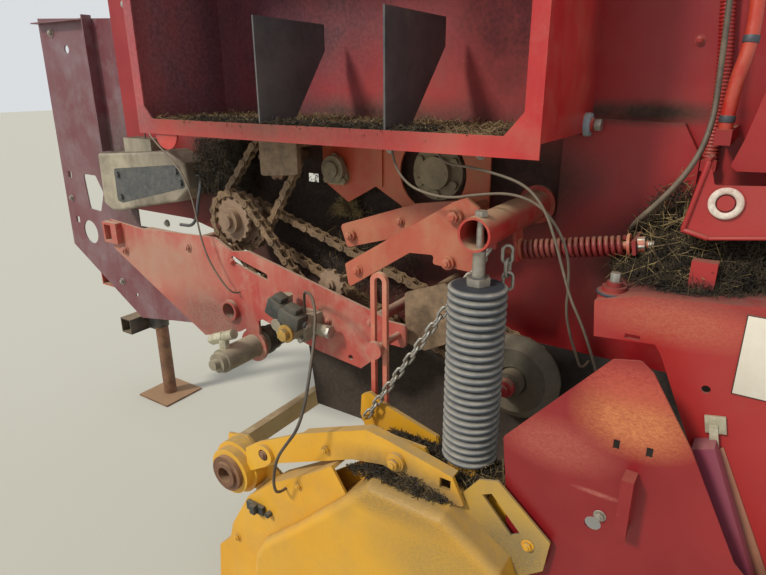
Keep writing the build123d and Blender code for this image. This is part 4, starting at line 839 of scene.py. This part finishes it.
def make_conduit_ribs(points, radius):
    """Rolled ribs a pitch apart along the conduit."""
    start()
    bpy.ops.mesh.primitive_torus_add(
        major_radius=radius, minor_radius=RIB_R, major_segments=20, minor_segments=6)
    rib = bpy.context.object
    spots = []
    walked, wanted = 0.0, RIB_PITCH / 2
    for a, b in zip(points, points[1:]):
        step = (b - a).length
        while wanted < walked + step:
            middle = Matrix.Translation(a.lerp(b, (wanted - walked) / step))
            spots.append(middle @ turned_to(Vector(), b - a))
            wanted += RIB_PITCH
        walked += step
    ribs = place_copies(rib, spots, "conduit_ribs")
    return settle(ribs, "conduit_ribs", "conduit_red", "frame", 60)


def make_hose_bands(points, radius):
    """Clamping bands round the hose, each at its distance from the hose's start."""
    bands, walked = [], 0.0
    for a, b in zip(points, points[1:]):
        step = (b - a).length
        for place in BAND_PLACES:
            if walked <= place < walked + step:
                middle = a.lerp(b, (place - walked) / step)
                way = (b - a).normalized() * (BAND_WIDTH / 2)
                bands.append(turned_part(middle - way, middle + way, radius + BAND_T, 32))
        walked += step
    return settle(join(bands, "hose_bands"), "hose_bands", "dark_nut", "frame")


def make_cords():
    for name, (finish, slot, radius, length, stiffness, route) in CORDS.items():
        line = route_line(f"{name}_line", route)
        if name == "conduit":
            make_conduit_ribs(points_along(line), radius)
        if name == "red_hose":
            make_hose_bands(points_along(line), radius)
        line.data.bevel_depth = radius
        line.data.bevel_resolution = 4
        line.data.use_fill_caps = True
        line.data.materials.append(FINISH[finish])
        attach(line, "frame")
        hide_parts(name)


# Fittings on the hydraulics, marks and mounts

PORT_Y = -0.770
RIM_Y = -0.7015
BOX_MOUNT = (-0.530, 0.712)


def coil_case(centre, size, lean):
    """Solenoid coil: rounded case, its plug on top and the nut on its tube."""
    a, b, c = (s / 2 for s in size)
    case = block((-a, -b, -c), (a, b, c), 0.006)
    plug = block((-a * 0.6, -b * 0.7, c - 0.002), (a * 0.55, b * 0.7, c + 0.014), 0.003)
    nut = turned_part((a - 0.002, 0, 0), (a + 0.010, 0, 0), 0.009, 6)
    piece = join([case, plug, nut], "coil")
    piece.matrix_world = Matrix.Translation(centre) @ Matrix.Rotation(radians(lean), 4, "Y")
    return piece


def make_valve_fittings():
    """Coils and plugs on the valve block, and the clamp and hose fitting on its cylinder."""
    coils = [coil_case((-0.880, -0.742, 0.262), (0.050, 0.042, 0.048), 22),
             coil_case((-0.824, -0.752, 0.250), (0.066, 0.042, 0.038), 14)]
    settle(join(coils, "solenoid_coils"), "solenoid_coils", "solenoid", "frame")
    brass = [rod(-0.830, 0.215, 0.0165, -0.7905, -0.774, 6),
             rod(-0.830, 0.215, 0.0232, -0.7765, -0.7700)]
    settle(join(brass, "brass_plug"), "brass_plug", "brass", "frame")
    nuts = [turned_part((-0.760, -0.700, 0.210), (-0.748, -0.700, 0.210), 0.017, 6),
            rod(-0.790, 0.236, 0.010, -0.752, -0.734, 6),
            rod(-0.812, 0.190, 0.008, -0.746, -0.734, 6)]
    settle(join(nuts, "valve_plugs"), "valve_plugs", "zinc", "frame")
    clamp = [rod(*CYLINDER, 0.0415, -0.634, -0.616, 40), rod(*CYLINDER, 0.0375, -0.612, -0.590, 40)]
    settle(join(clamp, "barrel_clamp"), "barrel_clamp", "black_paint", "frame")
    y = PORT_Y
    port = [turned_part((-1.104, y, 0.132), (-1.056, y, 0.152), 0.0165, 6, 0.0015),
            turned_part((-1.056, y, 0.152), (-1.018, y, 0.168), 0.0135, 20),
            turned_part((-1.112, y, 0.1285), (-1.104, y, 0.132), 0.0115, 20),
            turned_part((-1.060, y, 0.112), (-1.060, y, 0.148), 0.0150, 6, 0.0015)]
    settle(join(port, "hose_fitting"), "hose_fitting", "fitting", "frame")


def make_pale_ring():
    """Paint worn off round the boss of the ring bracket."""
    start()
    bpy.ops.mesh.primitive_torus_add(
        major_radius=0.0195, minor_radius=0.0052, major_segments=48, minor_segments=10,
        location=(0.040, -0.7046, 0.615), rotation=(pi / 2, 0, 0))
    ring = bpy.context.object
    ring.scale = (1, 1, 0.35)
    settle(ring, "pale_ring", "pale_ring", "frame", 60)


def make_edges():
    """Rim of the ring bracket, strips, web and latch beside the door, and the door's low corner."""
    y = RIM_Y
    rim = [turned_part((0.007, y, 0.676), (-0.0135, y, 0.566), 0.0042, 12),
           turned_part((-0.0135, y, 0.566), (0.024, y, 0.5565), 0.0042, 12),
           turned_part((0.024, y, 0.5565), (0.160, y, 0.5755), 0.0030, 12)]
    settle(join(rim, "bracket_rim"), "bracket_rim", "frame_paint", "frame")
    strip_bar = flat_bar((0.095, 0.229), (0.224, -0.048), 0.021, FRAME_Y - 0.0040, FRAME_Y - 0.0002)
    settle(strip_bar, "muddy_strip", "muddy_strip", "frame")
    edge = flat_bar((0.077, 0.242), (0.218, -0.101), 0.034, FRAME_Y - 0.0400, FRAME_Y - 0.0006)
    settle(edge, "folded_edge", "folded_edge", "frame")
    web = four_sided([(0.1695, -0.129), (0.238, -0.129), (0.238, 0.300), (0.1695, 0.300)],
                     FRAME_Y + 0.0002, FRAME_Y + 0.0058)
    settle(web, "post_web", "frame_paint", "frame")
    corner = four_sided([(-0.205, -0.149), (-0.057, -0.149), (-0.105, 0.003), (-0.2265, 0.113)],
                        DOOR_Y + 0.0003, DOOR_Y + 0.0038)
    settle(corner, "door_corner", "door_paint", "side_door")
    latch = [flat_bar((0.072, 0.268), (0.102, 0.274), 0.030, FRAME_Y - 0.0060, FRAME_Y - 0.0002),
             flat_bar((0.084, 0.272), (0.092, 0.232), 0.013, FRAME_Y - 0.0100, FRAME_Y - 0.0050)]
    settle(join(latch, "door_latch"), "door_latch", "fitting", "frame")


def make_nuts():
    """Nuts and washers on the spring rod, the frame's bolt and the boot's hanger."""
    way = (SPRING_END - SPRING_START).normalized()

    def on_bolt(low, high, radius, sides):
        x, y = FRAME_BOLT
        return turned_part((x, y, low), (x, y, high), radius, sides)

    nuts = [turned_part(SPRING_END + way * 0.0165, SPRING_END + way * 0.0300, 0.0165, 6),
            turned_part(SPRING_END + way * 0.0295, SPRING_END + way * 0.0440, 0.0075, 16),
            on_bolt(0.4600, 0.4835, 0.0095, 6), on_bolt(0.4550, 0.4590, 0.0170, 28)]
    settle(join(nuts, "bright_nuts"), "bright_nuts", "zinc", "frame")
    head = Vector((BOOT_X, BOOT_Y, BOOT_TOP))
    dark = [on_bolt(0.4460, 0.4510, 0.0285, 32),
            turned_part(head + Vector((0, 0, 0.001)), head + Vector((0, 0, 0.0155)), 0.0200, 6)]
    settle(join(dark, "dark_nuts"), "dark_nuts", "dark_nut", "frame")


def make_blank_plate():
    """Pale plate with a dark border."""
    for name, finish, grow, y in [("plate_border", "black_edge", 0.0015, -0.7626),
                                  ("blank_plate", "blank_plate", 0.0, -0.7632)]:
        low, high = (0.1000 - grow, y, 0.3325 - grow), (0.1620 + grow, y + 0.0014, 0.4620 + grow)
        settle(block(low, high, 0.0004), name, finish, "frame")


def make_spare_links():
    """Spare end of the lift chain, hung beside the boot's head."""
    link = oval_link(0.0092, LIFT_WIRE + 0.0005, 0.0080, 24)
    spots = []
    for i in range(3):
        turn = Matrix.Rotation(1.2 * (i % 2) + 0.3, 4, "Z")
        spots.append(Matrix.Translation((-0.297 + 0.002 * i, -0.727, 0.487 - 0.026 * i)) @ turn)
    settle(place_copies(link, spots, "spare_links"), "spare_links", "zinc", "frame", 60)


def make_box_mount():
    """Rubber disc and nut on the end of the twine box."""
    y, z = BOX_MOUNT
    rubber = turned_part((BOX_END_X + 0.0005, y, z), (BOX_END_X + 0.0135, y, z), 0.0226, 32, 0.003)
    settle(rubber, "box_rubber", "rubber_disc", "frame")
    nut = turned_part((BOX_END_X + 0.0200, y, z), (BOX_END_X + 0.0330, y, z), 0.0125, 6)
    settle(nut, "box_nut", "zinc", "frame")


def make_disc_cap():
    """Grease cap on the disc wheel's hub."""
    x, z, _ = DISC_WHEEL
    cap = [rod(x, z, 0.020, -0.660, -0.640), rod(x, z, 0.011, -0.668, -0.659, 6)]
    settle(join(cap, "disc_cap"), "disc_cap", "red_cap", "disc")


def make_cable_clip():
    """Clip with its bolt where the pickup's cable is held."""
    parts = [block((-0.872, -0.912, -0.226), (-0.815, -0.900, -0.200), 0.003),
             block((-0.850, -0.924, -0.222), (-0.832, -0.908, -0.196), 0.003),
             rod(-0.800, -0.214, 0.008, -0.914, -0.899, 6)]
    settle(join(parts, "cable_clip"), "cable_clip", "solenoid", "pickup")


# Hay and chaff

def straws(name, finish, body, count, seed, spot, length=(0.02, 0.05), flat=0.35, thick=0.0007):
    """Many short stalks joined as one mesh; spot gives each one's place."""
    start()
    bpy.ops.mesh.primitive_cylinder_add(vertices=3, radius=1, depth=1)
    stalk = bpy.context.object
    picker = random.Random(seed)
    corners = [vertex.co.copy() for vertex in stalk.data.vertices]
    shapes = [tuple(face.vertices) for face in stalk.data.polygons]
    bpy.data.objects.remove(stalk)
    points, faces = [], []
    for _ in range(count):
        place = Vector(spot(picker))
        turn = Matrix.Rotation(picker.uniform(0, 2 * pi), 4, "Z") @ Matrix.Rotation(
            pi / 2 + picker.gauss(0, flat), 4, "Y")
        size = Matrix.Diagonal((picker.uniform(0.6, 1.6) * thick, thick, picker.uniform(*length), 1))
        first = len(points)
        points += [Matrix.Translation(place) @ turn @ size @ corner for corner in corners]
        faces += [tuple(first + i for i in shape) for shape in shapes]
    mesh = bpy.data.meshes.new(name)
    mesh.from_pydata(points, [], faces)
    piece = bpy.data.objects.new(name, mesh)
    bpy.context.scene.collection.objects.link(piece)
    return settle(piece, name, finish, body, smooth=0)


def heap(centre, reach, rise):
    """Place in a low heap: reach as half widths along X and Y."""
    def spot(picker):
        angle, share = picker.uniform(0, 2 * pi), picker.uniform(0, 1) ** 0.5
        x, y = share * cos(angle), share * sin(angle)
        return (centre[0] + reach[0] * x, centre[1] + reach[1] * y,
                centre[2] + rise * (1 - share ** 2) * picker.uniform(0, 1))
    return spot


def strip(low, high):
    """Place in a box between two corners."""
    def spot(picker):
        return [picker.uniform(a, b) for a, b in zip(low, high)]
    return spot


# Columns: finish, body, stalks, seed, place, then what differs from the usual length, lean and thickness
LOOSE = dict(flat=0.9, thick=0.0005)
SHORT, LONG = (0.01, 0.03), (0.03, 0.07)
HAY = {
    "box_hay": ("box_hay", "frame", 4200, 1, strip(
        (-1.26, -0.765, BOX_FLOOR + 0.001), (-0.27, -0.49, BOX_FLOOR + 0.006)), {}),
    "box_edge_hay": ("dark_hay", "frame", 2600, 2, strip(
        (-1.1, -0.772, BOX_FLOOR + 0.002), (-0.45, -0.70, BOX_FLOOR + 0.012)), dict(length=SHORT)),
    "ledge_hay": ("dark_hay", "frame", 7000, 3, heap(
        (0.02, -0.60, 0.470), (0.15, 0.12), 0.085), dict(flat=0.8, thick=0.0005)),
    "wall_hay": ("dark_hay", "frame", 5000, 4, heap((-0.045, -0.555, 0.47), (0.085, 0.055), 0.15), LOOSE),
    "bracket_hay": ("dark_hay", "frame", 3600, 8, heap((0.10, -0.60, 0.48), (0.08, 0.09), 0.11), LOOSE),
    "pale_stalks": ("hay", "frame", 420, 9, heap(
        (0.00, -0.60, 0.478), (0.14, 0.11), 0.10), dict(length=(0.03, 0.075), flat=0.6, thick=0.0004)),
    "leaning_stalks": ("hay", "frame", 260, 10, heap(
        (-0.04, -0.57, 0.49), (0.07, 0.06), 0.14), dict(length=LONG, flat=1.0, thick=0.0004)),
    "frame_top_hay": ("dark_hay", "frame", 900, 11, heap(
        (0.06, -0.712, 0.463), (0.10, 0.034), 0.016), dict(length=SHORT, thick=0.0005)),
    "drive_hay": ("dark_hay", "frame", 2600, 5, strip(
        (-1.10, -0.512, 0.14), (-0.62, -0.485, 0.56)), dict(length=SHORT, flat=1.2, thick=0.0006)),
    "drive_stalks": ("hay", "frame", 260, 13, strip(
        (-0.90, -0.515, 0.18), (-0.62, -0.49, 0.50)), dict(length=SHORT, flat=1.2, thick=0.0004)),
    "roll_hay": ("hay", "frame", 700, 14, heap(
        (-0.842, -0.495, 0.462), (0.045, 0.02), 0.05), dict(length=(0.015, 0.04), flat=0.9, thick=0.0004)),
    "drive_mass": ("dark_hay", "frame", 5000, 15, strip(
        (-1.38, -0.55, 0.47), (-1.16, -0.49, 0.63)), dict(length=SHORT, flat=1.2, thick=0.0006)),
    "pickup_hay": ("dark_hay", "pickup", 3400, 6, strip(
        (-0.52, -0.828, 0.036), (-0.38, -0.77, 0.052)), dict(thick=0.0006)),
    "boot_foot_hay": ("dark_hay", "pickup", 2200, 16, heap(
        (-0.31, -0.80, 0.045), (0.11, 0.05), 0.03), dict(length=(0.01, 0.035), flat=0.8, thick=0.0005)),
    "boot_foot_stalks": ("hay", "pickup", 120, 17, heap(
        (-0.29, -0.81, 0.05), (0.08, 0.04), 0.04), dict(length=(0.03, 0.06), flat=0.8, thick=0.0004)),
    "cover_hay": ("dark_hay", "pickup", 1100, 7, heap(
        (-0.42, -0.872, 0.018), (0.11, 0.03), 0.03), dict(length=(0.008, 0.025))),
    "seam_hay": ("dark_hay", "pickup", 500, 12, heap(
        (-0.515, -0.876, 0.000), (0.055, 0.014), 0.022), dict(length=(0.008, 0.025))),
}


def make_hay():
    for name, (*row, how) in HAY.items():
        straws(name, *row, **how)


# Ground, light and camera

def photo_camera():
    bpy.ops.object.camera_add(location=(0.100, -1.750, 0.800))
    camera = bpy.context.object
    turn = Matrix.Rotation(radians(33.5), 3, "Z") @ Matrix.Rotation(radians(70.6), 3, "X")
    camera.rotation_euler = (turn @ Matrix.Rotation(radians(-0.3), 3, "Z")).to_euler()
    camera.data.lens = 28.01
    camera.data.sensor_width = 36
    camera.data.clip_start = 0.02
    bpy.context.scene.camera = camera


def studio():
    start()
    bpy.ops.mesh.primitive_plane_add(size=60, location=(0, 0, GROUND_Z))
    floor = bpy.context.object
    floor.name = "floor"
    material, _, shader, _ = blank_finish("pale_floor")
    shader.inputs["Base Color"].default_value = tone(182, 180, 168)
    shader.inputs["Roughness"].default_value = 0.95
    floor.data.materials.append(material)
    scene = bpy.context.scene
    scene.world = bpy.data.worlds.new("sky")
    scene.world.use_nodes = True
    sky = scene.world.node_tree.nodes["Background"]
    sky.inputs["Color"].default_value = (0.94, 0.97, 1.0, 1.0)
    sky.inputs["Strength"].default_value = 0.75
    bpy.ops.object.light_add(type="SUN", rotation=(radians(48), 0, radians(-28)))
    sun = bpy.context.object
    sun.data.energy = 2.6
    sun.data.angle = radians(9)
    sun.data.color = (1.0, 0.96, 0.88)
    scene.view_settings.view_transform = "Standard"


finish_cad_nodes()
make_bolts()
make_chains()
make_boot()
make_spring()
make_lift_chain()
make_cords()
make_valve_fittings()
make_pale_ring()
make_edges()
make_nuts()
make_blank_plate()
make_spare_links()
make_box_mount()
make_disc_cap()
make_cable_clip()
make_hay()
studio()
photo_camera()
